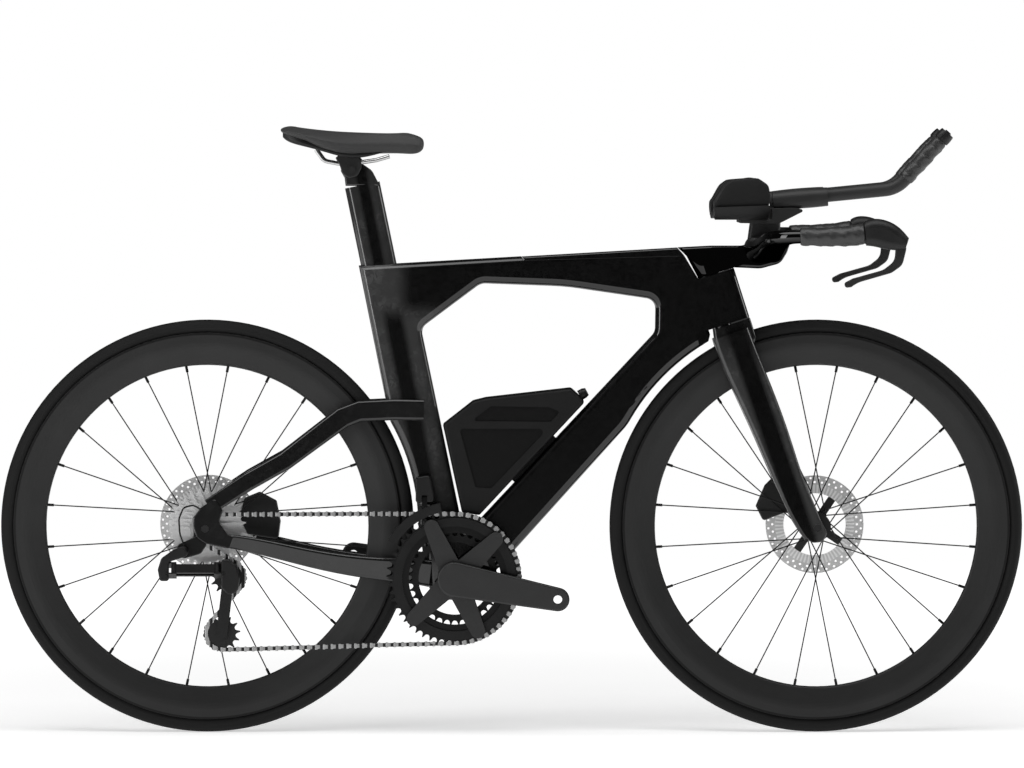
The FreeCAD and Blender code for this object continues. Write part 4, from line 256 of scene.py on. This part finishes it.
# %% Soft boxes
def soft_box(name, place, aim, width, height, watts):
    """A rectangular lamp that shines at aim and that the camera doesn't see."""
    place = Vector(place)
    turn = (Vector(aim) - place).to_track_quat("-Z", "Y").to_euler()
    bpy.ops.object.light_add(type="AREA", location=place, rotation=turn)
    lamp = bpy.context.object
    lamp.name = name
    lamp.data.shape = "RECTANGLE"
    lamp.data.size = width
    lamp.data.size_y = height
    lamp.data.energy = watts
    lamp.visible_camera = False


MIDDLE = (0, 0, 0.55)
soft_box("overhead box", (0, -0.9, 3.0), MIDDLE, width=4.2, height=1.6, watts=62)
soft_box("left box", (-2.8, -2.2, 1.1), MIDDLE, width=0.9, height=2.2, watts=34)
soft_box("right box", (3.3, 0.5, 1.2), MIDDLE, width=1.0, height=2.2, watts=26)

# %% [markdown]
# ## Lacquered carbon
# The frame and fork are carbon under smoke lacquer. Where it is thin, the chips of the carbon show as a faint
# marble all over the stays. Along both edges of the seat tube, the post and the fork, grey chips are a
# painted reflection, with black down the middle. A painted picture could give that, but it would blur close
# up.
# Here the chips are Voronoi cells with their own grey, bent by noise so that no edge is straight. The base
# bar is black, and dull underneath, where it would mirror the floor.

# %% Carbon with a clear coat
PAINT_LEVEL = 5
CHIP_BEND = (0.03, 0.03, 0.03)


def lacquered_carbon(name, chip_and_reflection_mask, chip_and_reflection_level, dull_below=False):
    """The mask, 0 to 1, gives the chips' grey: the carbon's own, and painted reflection bands. Dull below: no
    gloss underneath.
    """
    material, spot = blank(name)
    x, _, z = spot.split()
    warp = spot.noise(55.0, 2.0, "Color")
    bent = spot.node("VectorMath", {"operation": "MULTIPLY_ADD"}, {0: warp, 1: CHIP_BEND, 2: spot})
    cells = bent.node("TexVoronoi", {}, {"Vector": bent, "Scale": 150.0}, "Color")
    tone, haze = cells.split()[:2]
    smoke = spot.noise(26.0, 3.0).fade(0.42, 0.66)
    chip = 0.45 + 0.4 * smoke * tone ** 1.5
    # Chip grey where the mask is 1: the carbon's own chips on the stays, painted reflection bands on the seat
    # tube, post and fork.
    depth = chip * chip_and_reflection_mask(x, z)
    colour = depth.mix(grey(PAINT_LEVEL), grey(chip_and_reflection_level))
    ripple = spot.noise(7.0, 1.0)
    coat = 1.0
    base_gloss = 0.12
    if dull_below:
        coat = spot.node("TexCoord", output="Normal").split()[2].fade(-0.9, -0.3)
        base_gloss = 0.0
    return finish_with(material, {
        "Base Color": colour, "Roughness": 0.28 + 0.18 * haze, "Specular IOR Level": base_gloss,
        "Coat Weight": coat, "Coat Roughness": 0.035, "Normal": ripple.bump(0.05, 0.004)})


# %% Where the chips and the painted reflections show
# Lines and fades that place the painted reflections on the seat tube, the post and the fork.
SEAT_LINE = (-0.1718, 0.5735, -0.193)
POST_LINE = (-0.2174, 0.7720, -0.193)
FORK_LINE = (0.4424, 0.4222, -0.340)
SEAT_EDGE = (0.008, 0.022)
POST_EDGE = (0.005, 0.014)
FORK_EDGE = (0.010, 0.022)
SEAT_FADE = (-0.07, -0.16)
CORNER_FADE = (-0.160, -0.195)
UPPER_FADE = (0.665, 0.705)
FORK_FADE = (0.70, 0.56)


def beside(x, z, line, near, far):
    """0 on a sloping line of the side view and 1 beyond far from it. The line is x, z and x per z."""
    return abs(x - line[0] - (z - line[1]) * line[2]).fade(near, far)


def frame_painted_reflection(x, z):
    """Painted reflection: the seat tube's two grey edges, and one grey corner where it meets the top tube."""
    edges = x.fade(*SEAT_FADE) * beside(x, z, SEAT_LINE, *SEAT_EDGE)
    corner = x.fade(*CORNER_FADE)
    upper = z.fade(*UPPER_FADE)
    return edges * (1 - upper) + corner * upper


def fork_painted_reflection(x, z):
    """Painted reflection: the fork's two grey edges, which end below the crown."""
    return z.fade(*FORK_FADE) * beside(x, z, FORK_LINE, *FORK_EDGE)


def post_painted_reflection(x, z):
    """Painted reflection: the post's two grey edges."""
    return beside(x, z, POST_LINE, *POST_EDGE)


def all_over(x, z):
    """The chips of the stays show all over."""
    return 1.0


def nowhere(x, z):
    """No chips show on the base bar."""
    return 0.0


# The frame, the fork and the post get painted reflections as grey edges; the stays get chips all over.
dress(lacquered_carbon("frame lacquer", frame_painted_reflection, 78), "front_triangle", "top_tube_cover")
dress(lacquered_carbon("stay lacquer", all_over, 36), "rear_triangle")
dress(lacquered_carbon("fork lacquer", fork_painted_reflection, 84), "fork")
dress(lacquered_carbon("post lacquer", post_painted_reflection, 66), "seatpost")
dress(lacquered_carbon("bar lacquer", nowhere, PAINT_LEVEL, dull_below=True), "base_bar")

# %% [markdown]
# ## Wheels
# The rims are satin carbon whose fibres run round the rim, with a black edge under the tyre. The tyres are
# dull rubber with a file tread on the shoulders. Both patterns follow the wheel, so they read the angle and
# the radius from the axle, which a Mapping node moves to the middle. Modelled tread would need many thousand
# faces, and a bump is enough for cuts as shallow as these.

# %% Patterns that go round a wheel
HALF_WHEELBASE = 0.49525
REAR_AXLE = Vector((-HALF_WHEELBASE, 0, AXLE_HEIGHT))
FRONT_AXLE = Vector((HALF_WHEELBASE, 0, AXLE_HEIGHT))


def round_axle(spot, axle):
    """Radius, angle and distance across, from an axle."""
    centred = spot.node("Mapping", {}, {"Vector": spot, "Location": tuple(-axle)})
    x, across, z = centred.split()
    radius = (x * x + z * z) ** 0.5
    return radius, x.maths("ARCTAN2", z, x), across


def round_noise(radius, angle, across, along, out):
    """Noise that is drawn out along the wheel's turn."""
    way = radius.node("CombineXYZ", {}, {0: angle * along, 1: radius * out, 2: across * out})
    return way.noise(1.0, 3.0)


# %% Rims
RIM_EDGE = (0.3108, 0.3116)


def rim_carbon(name, axle):
    """Satin carbon with its fibres round the rim and a black edge."""
    material, spot = blank(name)
    radius, angle, across = round_axle(spot, axle)
    fibres = round_noise(radius, angle, across, along=9.0, out=1500.0)
    cloud = spot.noise(14.0, 2.0)
    body = fibres.mix(grey(37), grey(47))
    edge = radius.fade(*RIM_EDGE)
    dust = cloud.fade(0.4, 0.8) * 0.35
    colour = edge.mix(dust.mix(body, grey(50)), grey(14))
    return finish_with(material, {"Base Color": colour, "Roughness": 0.40 + 0.14 * fibres - 0.06 * cloud,
                                  "Specular IOR Level": 0.28, "Normal": fibres.bump(0.10, 0.0003)})


# %% Tyres
TREAD_INNER = (0.0030, 0.0042)
TREAD_OUTER = (0.0098, 0.0088)
TYRE_WALL = (0.3275, 0.3235)


def tyre_rubber(name, axle):
    """Dull rubber with slanted cuts on both shoulders and moulding lines on the walls."""
    material, spot = blank(name)
    radius, angle, across = round_axle(spot, axle)
    shoulder = abs(across).fade(*TREAD_INNER) * abs(across).fade(*TREAD_OUTER)
    slant = angle * 300.0 + abs(across) * 900.0
    file_cut = slant.sine().fade(-0.2, 0.5) * shoulder
    scuff = spot.noise(60.0, 4.0)
    grain = spot.noise(1400.0, 2.0)
    moulding = round_noise(radius, angle, across, along=3.0, out=700.0)
    wall = radius.fade(*TYRE_WALL)
    colour = scuff.mix(grey(26), grey(35))
    colour = (wall * moulding.fade(0.45, 0.75) * 0.5).mix(colour, grey(42))
    height = grain * 0.25 + file_cut * 0.9 + wall * moulding * 0.35
    return finish_with(material, {"Base Color": colour, "Roughness": 0.62 + 0.22 * scuff,
                                  "Specular IOR Level": 0.18, "Normal": height.bump(0.45, 0.0006)})


# %% Dress both wheels
for end, axle in (("rear", REAR_AXLE), ("front", FRONT_AXLE)):
    dress(rim_carbon(end + " rim carbon", axle), end + "_rim")
    dress(tyre_rubber(end + " tyre rubber", axle), end + "_tyre")

# %% [markdown]
# ## Metal
# Most small pieces are machined, cast or stamped metal. Each could have a material of its own, but one
# function makes them all and keeps them alike: a colour, a gloss, fine scratches along the direction of
# working and a cloud of handling marks in the roughness.

# %% Worked metal
def worked_metal(name, level, rough, brush, metallic=1.0, spread=10):
    """brush stretches the scratches: small numbers lie along the direction of working."""
    material, spot = blank(name)
    lines = spot.stretched(*brush).noise(1.0, 3.0)
    cloud = spot.noise(38.0, 3.0)
    colour = (0.6 * lines + 0.4 * cloud).mix(grey(level - spread), grey(level + spread))
    gloss = rough + 0.16 * (lines - 0.5) + 0.14 * (cloud - 0.5)
    return finish_with(material, {"Base Color": colour, "Roughness": gloss, "Metallic": metallic,
                                  "Normal": lines.bump(0.12, 0.0002)})


# %% Dress the metal pieces
ROUND_BRUSH = (900.0, 60.0, 900.0)
FLAT_BRUSH = (220.0, 1400.0, 1400.0)
EVEN_GRAIN = (1100.0, 1100.0, 1100.0)
SPOKE_BRUSH = (90.0, 900.0, 90.0)
CRANK_BRUSH = (260.0, 1300.0, 1300.0)
dress(worked_metal("black anodised alloy", 44, 0.42, EVEN_GRAIN, metallic=0.7),
      "front_hub", "rear_hub", "bottom_bracket_cups", "headset_bearings")
dress(worked_metal("black spoke steel", 34, 0.36, SPOKE_BRUSH, metallic=0.8, spread=8),
      "front_spokes", "rear_spokes")
dress(worked_metal("rail steel", 196, 0.22, FLAT_BRUSH), "saddle_rails")
dress(worked_metal("axle alloy", 58, 0.34, ROUND_BRUSH, metallic=0.9),
      "front_thru_axle", "rear_thru_axle")
dress(worked_metal("clamp alloy", 60, 0.40, EVEN_GRAIN, metallic=0.8), "saddle_clamp")
dress(worked_metal("crank satin grey", 62, 0.46, CRANK_BRUSH, metallic=0.75, spread=7),
      "right_crank_arm", "left_crank_arm")
dress(worked_metal("ring anodised grey", 44, 0.36, ROUND_BRUSH, metallic=0.85, spread=12), "big_chainring")
dress(worked_metal("inner ring grey", 40, 0.42, ROUND_BRUSH, metallic=0.85, spread=12), "small_chainring")
dress(worked_metal("derailleur grey", 42, 0.34, EVEN_GRAIN, metallic=0.7, spread=9),
      "derailleur_outer_link", "derailleur_inner_link", "derailleur_knuckle", "derailleur_cage",
      "front_derailleur_link", "front_derailleur_cage")
dress(worked_metal("lever carbon grey", 46, 0.38, FLAT_BRUSH, metallic=0.2, spread=8),
      "right_brake_lever", "left_brake_lever")
dress(worked_metal("caliper black", 40, 0.40, EVEN_GRAIN, metallic=0.6, spread=8),
      "front_caliper", "rear_caliper")
dress(worked_metal("pad backing", 92, 0.5, FLAT_BRUSH, metallic=0.8, spread=14),
      "front_inner_pad", "front_outer_pad", "rear_inner_pad", "rear_outer_pad")

# %% [markdown]
# ## Sprockets and rotors
# The cassette is bright plated steel on a dark carrier, turned on a lathe, so its marks are circles. Each
# rotor is one mesh with three finishes: a steel braking track, a paler ribbed aluminium ring and black arms.
# Faces could be given materials one by one, but a mask by radius leaves the mesh alone.

# %% Sprockets
CARRIER_EDGE = (0.0185, 0.0172)


def sprocket_steel(name, axle):
    """Turned steel outside the carrier's radius and dark alloy within it."""
    material, spot = blank(name)
    radius, angle, across = round_axle(spot, axle)
    turned = round_noise(radius, angle, across, along=4.0, out=3200.0)
    smear = spot.noise(120.0, 3.0)
    carrier = radius.fade(*CARRIER_EDGE)
    colour = carrier.mix(turned.mix(grey(196), grey(242)), grey(60))
    return finish_with(material, {"Base Color": colour, "Metallic": 0.6,
                                  "Roughness": 0.24 + 0.22 * smear, "Normal": turned.bump(0.14, 0.0002)})


dress(sprocket_steel("cassette steel", REAR_AXLE), "cassette_sprockets")

# %% Rotors
TRACK_EDGE = (0.0646, 0.0652)
ROTOR_HUB_EDGE = (0.0514, 0.0506)
ROTOR_RIBS = 64.0


def rotor_finish(name, axle):
    """Three finishes, told apart by their distance from the axle."""
    material, spot = blank(name)
    radius, angle, across = round_axle(spot, axle)
    turned = round_noise(radius, angle, across, along=5.0, out=4200.0)
    ribs = (angle * ROTOR_RIBS).sine().fade(-0.3, 0.4)
    track = radius.fade(*TRACK_EDGE)
    hub = radius.fade(*ROTOR_HUB_EDGE)
    ring_colour = ribs.mix(grey(214), grey(245))
    colour = track.mix(ring_colour, turned.mix(grey(190), grey(226)))
    colour = hub.mix(colour, turned.mix(grey(36), grey(46)))
    height = turned * 0.25 + ribs * (1 - track) * (1 - hub)
    return finish_with(material, {"Base Color": colour, "Metallic": 0.6 - 0.2 * hub,
                                  "Roughness": 0.28 + 0.16 * turned, "Normal": height.bump(0.30, 0.0005)})


dress(rotor_finish("front rotor finish", FRONT_AXLE), "front_rotor")
dress(rotor_finish("rear rotor finish", REAR_AXLE), "rear_rotor")

# %% [markdown]
# ## Chain
# A chain is rows of plates round rollers, twice as long as they are high. From the side it shows as bright
# beads with dark waists. The solid has the plates, and a material for each kind of plate could colour them.
# One wave to a link is simpler: straight along the runs, and round the bottom bracket on the big ring.

# %% Beads on the chain
BRACKET = Vector((-0.0921, 0, 0.2530))
CHAIN_PITCH = 0.0127
BIG_RING_TEETH = 52
CHAIN_ON_RING = (0.1125, 0.1115)


def chain_plates(name):
    """Bright beads with dark waists, one to a link."""
    material, spot = blank(name)
    radius, angle, _ = round_axle(spot, BRACKET)
    x = spot.split()[0]
    on_ring = radius.fade(*CHAIN_ON_RING)
    phase = on_ring * (angle * BIG_RING_TEETH) + (1 - on_ring) * (x * (2 * math.pi / CHAIN_PITCH))
    bead = phase.sine().fade(-0.75, 0.15)
    grease = spot.noise(160.0, 3.0)
    colour = bead.mix(grey(52), grease.mix(grey(150), grey(196)))
    return finish_with(material, {"Base Color": colour, "Metallic": 1.0, "Roughness": 0.26 + 0.2 * grease,
                                  "Normal": bead.bump(0.6, 0.0010)})


dress(chain_plates("chain plates"), "chain")

# %% [markdown]
# ## Ring plate
# The big ring has a thin black plate inside its teeth. Two cylinders and a Boolean would give it, but with
# untidy faces. Here a circle is extruded inward into a flat ring, which is then given a thickness.

# %% The plate inside the big ring
PLATE_OUTER = 0.0895
PLATE_INNER = 0.0745
PLATE_FACE = -0.0484
PLATE_THICKNESS = 0.0024
PLATE_POINTS = 144
PLATE_CREASE = math.radians(30)
PLATE_SHARE = PLATE_INNER / PLATE_OUTER
plate_centre = BRACKET + Vector((0, PLATE_FACE, 0))
bpy.ops.object.select_all(action="DESELECT")
bpy.ops.mesh.primitive_circle_add(vertices=PLATE_POINTS, radius=PLATE_OUTER, rotation=(math.pi / 2, 0, 0),
                                  location=plate_centre)
ring_plate = bpy.context.object
ring_plate.name = "ring_face_plate"
bpy.ops.object.transform_apply(location=True, rotation=True, scale=True)
bpy.ops.object.mode_set(mode="EDIT")
bpy.ops.mesh.select_all(action="SELECT")
bpy.ops.mesh.extrude_edges_move()
bpy.ops.transform.resize(value=(PLATE_SHARE, 1, PLATE_SHARE), center_override=plate_centre)
bpy.ops.mesh.select_all(action="SELECT")
bpy.ops.mesh.extrude_region_move(TRANSFORM_OT_translate={"value": (0, PLATE_THICKNESS, 0)})
bpy.ops.mesh.select_all(action="SELECT")
bpy.ops.mesh.normals_make_consistent(inside=False)
bpy.ops.object.mode_set(mode="OBJECT")
bpy.ops.object.shade_smooth_by_angle(angle=PLATE_CREASE)
ring_black = worked_metal("ring plate black", 30, 0.34, ROUND_BRUSH, metallic=0.7, spread=6)
ring_plate.data.materials.append(ring_black)
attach(ring_plate, "crankset")
print("ring plate faces:", len(ring_plate.data.polygons))

# %% [markdown]
# ## Moulded plastic
# The bottle, the saddle shell and the small electric pieces are black plastic from a mould: an even spark
# texture, a little gloss variation and, on the bottle's sunk panels, fine crossed ribs for the hand. The ribs
# could be cut in the solid, but they are so fine that a bump looks the same. The riser and the extensions are
# satin carbon, which looks alike, so they share the function.

# %% Plastic from a mould
def moulded_plastic(name, level, rough, texture, depth=0.18):
    """texture is the scale of the mould's spark marks and depth is how strong they are."""
    material, spot = blank(name)
    spark = spot.noise(texture, 2.0)
    cloud = spot.noise(30.0, 3.0)
    colour = cloud.mix(grey(level - 5), grey(level + 6))
    gloss = rough + 0.18 * (spark - 0.5) + 0.1 * cloud
    return finish_with(material, {"Base Color": colour, "Roughness": gloss, "Specular IOR Level": 0.32,
                                  "Normal": spark.bump(depth, 0.0003)})


# %% Bottle
SUNK_PANEL = (0.0264, 0.0260)
BOTTLE_RIBS = 2100.0


def bottle_plastic(name):
    """Plain outside, with crossed ribs on the panels that are sunk into both sides."""
    material, spot = blank(name)
    x, across, z = spot.split()
    sunk = abs(across).fade(*SUNK_PANEL)
    weave = ((x + z) * BOTTLE_RIBS).sine() * ((x - z) * BOTTLE_RIBS).sine()
    ribs = weave.fade(-0.2, 0.6) * sunk
    spark = spot.noise(1300.0, 2.0)
    cloud = spot.noise(24.0, 3.0)
    body = cloud.mix(grey(24), grey(32))
    colour = sunk.mix(body, ribs.mix(grey(3), grey(9)))
    height = spark * 0.3 + ribs
    return finish_with(material, {"Base Color": colour, "Roughness": 0.48 + 0.2 * spark - 0.08 * sunk,
                                  "Specular IOR Level": 0.2, "Normal": height.bump(0.25, 0.0005)})


dress(bottle_plastic("bottle plastic"), "bottle_body")

# %% Dress the plastic pieces
dress(moulded_plastic("cap plastic", 24, 0.38, 900.0), "bottle_cap")
dress(moulded_plastic("shell plastic", 20, 0.34, 700.0), "saddle_shell")
dress(moulded_plastic("cup plastic", 15, 0.46, 1200.0), "armrest_cups")
dress(moulded_plastic("housing plastic", 34, 0.40, 1200.0), "lever_housings", "shifter_pods")
dress(moulded_plastic("button plastic", 30, 0.36, 1500.0), "right_shift_button", "left_shift_button")
dress(moulded_plastic("motor plastic", 24, 0.30, 1000.0), "derailleur_motor_knuckle",
      "front_derailleur_body")
dress(moulded_plastic("pulley plastic", 30, 0.42, 1100.0), "guide_pulley", "tension_pulley")
dress(moulded_plastic("wire sleeve", 16, 0.40, 1600.0), "derailleur_wire")
dress(moulded_plastic("satin carbon", 52, 0.42, 500.0, depth=0.06), "bar_riser", "extensions")

# %% [markdown]
# ## Soft pieces: how padding is made
# A pad is foam under a tight skin. The CAD solid gives its place and rough form. A copy of it is remeshed
# into even faces, blown up by a cloth simulation with pressure inside, as stuffing would, and kept within
# a few millimetres of the solid, so that it still fits what carries it. Sculpting could do the same, but not
# from a script.

# %% Points of a mesh as arrays
def only(piece):
    """Selects one piece and makes it active."""
    bpy.ops.object.select_all(action="DESELECT")
    piece.select_set(True)
    bpy.context.view_layer.objects.active = piece


def coordinates(piece):
    """The places of all points, one row each."""
    flat = np.empty(len(piece.data.vertices) * 3)
    piece.data.vertices.foreach_get("co", flat)
    return flat.reshape(-1, 3)


def set_coordinates(piece, points):
    """Moves all points to new places."""
    piece.data.vertices.foreach_set("co", np.asarray(points).ravel())
    piece.data.update()


def vertex_normals(piece):
    """The outward directions at all points, one row each."""
    flat = np.empty(len(piece.data.vertices) * 3)
    piece.data.vertex_normals.foreach_get("vector", flat)
    return flat.reshape(-1, 3)


def apply_all(piece):
    """Applies the modifiers of a piece in their order."""
    only(piece)
    for modifier in list(piece.modifiers):
        bpy.ops.object.modifier_apply(modifier=modifier.name)


# %% Stuff a copy of a soft solid
WELD_DISTANCE = 0.00002
STUFFING_PRESSURE = 4.0
STUFFING_STEPS = 20
SKIN_ROUNDS = 4
TINY = 1e-9


def stuffed_copy(name, node, voxel, shrink, cap):
    """A remeshed copy of a soft solid, shrunk and then blown up by at most cap."""
    piece = bpy.data.objects.new(name, nodes[node].data.copy())
    piece.data.materials.clear()
    scene.collection.objects.link(piece)
    only(piece)
    bpy.ops.object.mode_set(mode="EDIT")
    bpy.ops.mesh.select_all(action="SELECT")
    bpy.ops.mesh.remove_doubles(threshold=WELD_DISTANCE)
    bpy.ops.object.mode_set(mode="OBJECT")
    remesh = piece.modifiers.new("even faces", "REMESH")
    remesh.mode = "VOXEL"
    remesh.voxel_size = voxel
    apply_all(piece)
    start = coordinates(piece) - vertex_normals(piece) * shrink
    set_coordinates(piece, start)
    cloth = piece.modifiers.new("stuffing", "CLOTH")
    cloth.settings.use_pressure = True
    cloth.settings.uniform_pressure_force = STUFFING_PRESSURE
    cloth.settings.effector_weights.gravity = 0.0
    for step in range(1, STUFFING_STEPS + 1):
        scene.frame_set(step)
    apply_all(piece)
    scene.frame_set(1)
    moved = coordinates(piece) - start
    length = np.linalg.norm(moved, axis=1, keepdims=True) + TINY
    set_coordinates(piece, start + moved * np.minimum(1.0, cap / length))
    smooth = piece.modifiers.new("skin", "SMOOTH")
    smooth.factor = 0.5
    smooth.iterations = SKIN_ROUNDS
    rounder = piece.modifiers.new("finer", "SUBSURF")
    rounder.levels = 1
    rounder.render_levels = 1
    apply_all(piece)
    bpy.ops.object.shade_smooth()
    furthest = float(length.max()) * 1000
    print(name, "faces:", len(piece.data.polygons), "furthest move:", round(furthest, 1), "mm")
    return piece


# %% [markdown]
# ## Saddle
# The saddle is a foam cushion under synthetic leather, long and narrow at the nose and flared at the back.
# After stuffing, a shallow relief channel is pressed in along the middle, as saddles of this kind have, and
# the skin gets a fine leather grain in its bump, gloss and tone. Modelled creases would be too many faces.

# %% The saddle's skin
SADDLE_SKIN = 62


def skin_leather(name):
    """Synthetic leather: cells with creases between them."""
    material, spot = blank(name)
    cells = spot.node("TexVoronoi", {"feature": "DISTANCE_TO_EDGE"}, {"Vector": spot, "Scale": 720.0})
    crease = cells.fade(0.0, 0.16)
    shine = spot.noise(18.0, 3.0)
    colour = (0.7 * crease + 0.3 * shine).mix(grey(SADDLE_SKIN - 14), grey(SADDLE_SKIN + 4))
    return finish_with(material, {"Base Color": colour, "Roughness": 0.50 + 0.16 * shine - 0.06 * crease,
                                  "Specular IOR Level": 0.28, "Sheen Weight": 0.05,
                                  "Normal": crease.bump(0.16, 0.0003)})


# %% The saddle's cushion
CHANNEL_WIDTH = 0.0085
CHANNEL_DEPTH = 0.0045
CHANNEL_START = 0.12
CHANNEL_SPAN = 0.76
CHANNEL_BLUNTNESS = 0.6
TOP_START_SHARE = 0.5
TOP_SPAN_SHARE = 0.3
saddle = stuffed_copy("saddle_cushion", "saddle_cover", voxel=0.004, shrink=0.0012, cap=0.0024)
low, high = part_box("saddle_cover")
points = coordinates(saddle)
along = np.clip((points[:, 0] - low.x) / (high.x - low.x), 0, 1)
height = high.z - low.z
upper = np.clip(((points[:, 2] - low.z) / height - TOP_START_SHARE) / TOP_SPAN_SHARE, 0, 1)
way = np.clip((along - CHANNEL_START) / CHANNEL_SPAN, 0, 1)
channel = np.exp(-(points[:, 1] / CHANNEL_WIDTH) ** 2) * np.sin(np.pi * way) ** CHANNEL_BLUNTNESS
points[:, 2] -= CHANNEL_DEPTH * channel * upper
set_coordinates(saddle, points)
saddle.data.materials.append(skin_leather("saddle skin"))
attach(saddle, "frame")
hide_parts("saddle_cover")

# %% [markdown]
# ## Arm pads
# The rider's forearms lie in two cups lined with thick foam under a knitted cover. The knit is two crossed
# waves, fine enough to read as cloth, and the cover is paler in worn patches. Modelled yarn would show only
# from very near.

# %% The two foam liners
KNIT = 2600.0
KNIT_SLANT = 0.35


def knitted_cover(name):
    """Crossed waves of yarn, paler where the noise is high."""
    material, spot = blank(name)
    x, across, z = spot.split()
    rows = ((x + KNIT_SLANT * z) * KNIT).sine()
    loops = ((across + z) * KNIT).sine()
    knit = (rows * loops).fade(-0.7, 0.8)
    wear = spot.noise(22.0, 4.0)
    colour = (0.55 * knit + 0.45 * wear).mix(grey(22), grey(44))
    return finish_with(material, {"Base Color": colour, "Roughness": 0.78 + 0.14 * wear,
                                  "Specular IOR Level": 0.2, "Sheen Weight": 0.08,
                                  "Normal": knit.bump(0.22, 0.0004)})


arm_pads = stuffed_copy("arm_pad_liners", "armrest_pads", voxel=0.004, shrink=0.0014, cap=0.0026)
arm_pads.data.materials.append(knitted_cover("arm pad knit"))
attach(arm_pads, "steering")
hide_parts("armrest_pads")

# %% [markdown]
# ## Bar tape
# The grips are wound with padded tape. Each turn overlaps the one before, so the surface climbs slowly over a
# turn and then drops at the tape's edge. A ribbon swept along a helix would cut into itself at each overlap.
# So a cylinder with many rings is laid along the grip, and each point is moved out by where it stands on
# that winding.

# %% Wind one grip
RING_POINTS = 56
TAPE_PITCH = 0.0200
TAPE_STEP = 0.0007
TAPE_CLIMB = 0.86
RING_SPACING = 0.0011
END_ROUND = 0.003
END_DROP = 0.0012
TAPE_CREASE = math.radians(50)
SLACK = ((0.00035, 3, 160), (0.0002, 5, -310))


def ringed_cylinder(name, rings):
    """A cylinder of radius 1 and length 1, whose long edges are cut into rings."""
    bpy.ops.object.select_all(action="DESELECT")
    bpy.ops.mesh.primitive_cylinder_add(vertices=RING_POINTS, radius=1, depth=1, end_fill_type="NGON")
    piece = bpy.context.object
    piece.name = name
    bpy.ops.object.mode_set(mode="EDIT")
    bpy.ops.mesh.select_mode(type="EDGE")
    bpy.ops.mesh.select_all(action="DESELECT")
    bpy.ops.object.mode_set(mode="OBJECT")
    for edge in piece.data.edges:
        first, second = (piece.data.vertices[i].co.z for i in edge.vertices)
        edge.select = abs(first - second) > 0.5
    bpy.ops.object.mode_set(mode="EDIT")
    bpy.ops.mesh.subdivide(number_cuts=rings)
    bpy.ops.object.mode_set(mode="OBJECT")
    return piece


def wound_grip(name, stations, across, turn):
    """stations are pixels of the picture and the thickness there, also in pixels."""
    places = np.array([at_pixel(px, py, across) for px, py, size in stations])
    radii = np.array([size * PIXEL / 2 for px, py, size in stations])
    steps = np.linalg.norm(np.diff(places, axis=0), axis=1)
    marks = np.concatenate([[0.0], np.cumsum(steps)])
    piece = ringed_cylinder(name, int(marks[-1] / RING_SPACING))
    unit = coordinates(piece)
    share = np.clip(unit[:, 2] + 0.5, 0, 1)
    angle = np.arctan2(unit[:, 1], unit[:, 0])
    length = share * marks[-1]
    centre = np.stack([np.interp(length, marks, places[:, i]) for i in range(3)], axis=1)
    radius = np.interp(length, marks, radii)
    wind = (length / TAPE_PITCH + turn * angle / (2 * np.pi)) % 1.0
    climb = np.where(wind < TAPE_CLIMB, wind / TAPE_CLIMB, (1 - wind) / (1 - TAPE_CLIMB))
    slack = sum(size * np.sin(waves * angle + twist * length) for size, waves, twist in SLACK)
    ends = np.clip(np.minimum(length, marks[-1] - length) / END_ROUND, 0, 1) ** 0.5
    radius = radius - TAPE_STEP + TAPE_STEP * climb + slack - END_DROP * (1 - ends)
    axis = (places[-1] - places[0]) / np.linalg.norm(places[-1] - places[0])
    side = np.array([0.0, 1.0, 0.0])
    up = np.cross(axis, side)
    spread = side * np.cos(angle)[:, None] + up * np.sin(angle)[:, None]
    set_coordinates(piece, centre + spread * radius[:, None])
    only(piece)
    bpy.ops.object.mode_set(mode="EDIT")
    bpy.ops.mesh.select_all(action="SELECT")
    bpy.ops.mesh.normals_make_consistent(inside=False)
    bpy.ops.object.mode_set(mode="OBJECT")
    bpy.ops.object.shade_smooth_by_angle(angle=TAPE_CREASE)
    return piece


# %% The tape's cloth
def tape_cloth(name):
    """Crumpled cloth with pores."""
    material, spot = blank(name)
    crumple = spot.noise(150.0, 4.0)
    pores = spot.node("TexVoronoi", {}, {"Vector": spot, "Scale": 520.0}).fade(0.10, 0.24)
    colour = (0.6 * crumple + 0.4 * pores).mix(grey(20), grey(58))
    height = crumple * 0.8 + pores * 0.3
    return finish_with(material, {"Base Color": colour, "Roughness": 0.30 + 0.25 * crumple,
                                  "Specular IOR Level": 0.6, "Normal": height.bump(0.6, 0.0012)})


# %% Four grips
BAR_GRIP = ((794.5, 235.2, 17.6), (815, 235.3, 18.6), (836, 234.8, 20), (856.8, 232.6, 21.5))
BAR_GRIP_SIDE = 0.192
EXTENSION_GRIP = ((902.3, 178.8, 15.6), (913, 167.2, 16), (925, 154.2, 16), (936.7, 141.5, 15.6))
EXTENSION_SIDE = 0.060
grips = []
for side_name, sign in (("right", -1), ("left", 1)):
    grips.append(wound_grip(side_name + "_bar_tape", BAR_GRIP, sign * BAR_GRIP_SIDE, sign))
    grips.append(wound_grip(side_name + "_extension_tape", EXTENSION_GRIP, sign * EXTENSION_SIDE, sign))
tape = tape_cloth("bar tape")
for grip in grips:
    grip.data.materials.append(tape)
    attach(grip, "steering")
    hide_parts("grip_tape")
print("wound grips:", len(grips))

# %% [markdown]
# ## Last look at the sizes
# The box of the dressed bike is printed.

# %% Measure the dressed bike
low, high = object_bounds()
print("dressed box:", [round(v, 3) for v in low], [round(v, 3) for v in high])
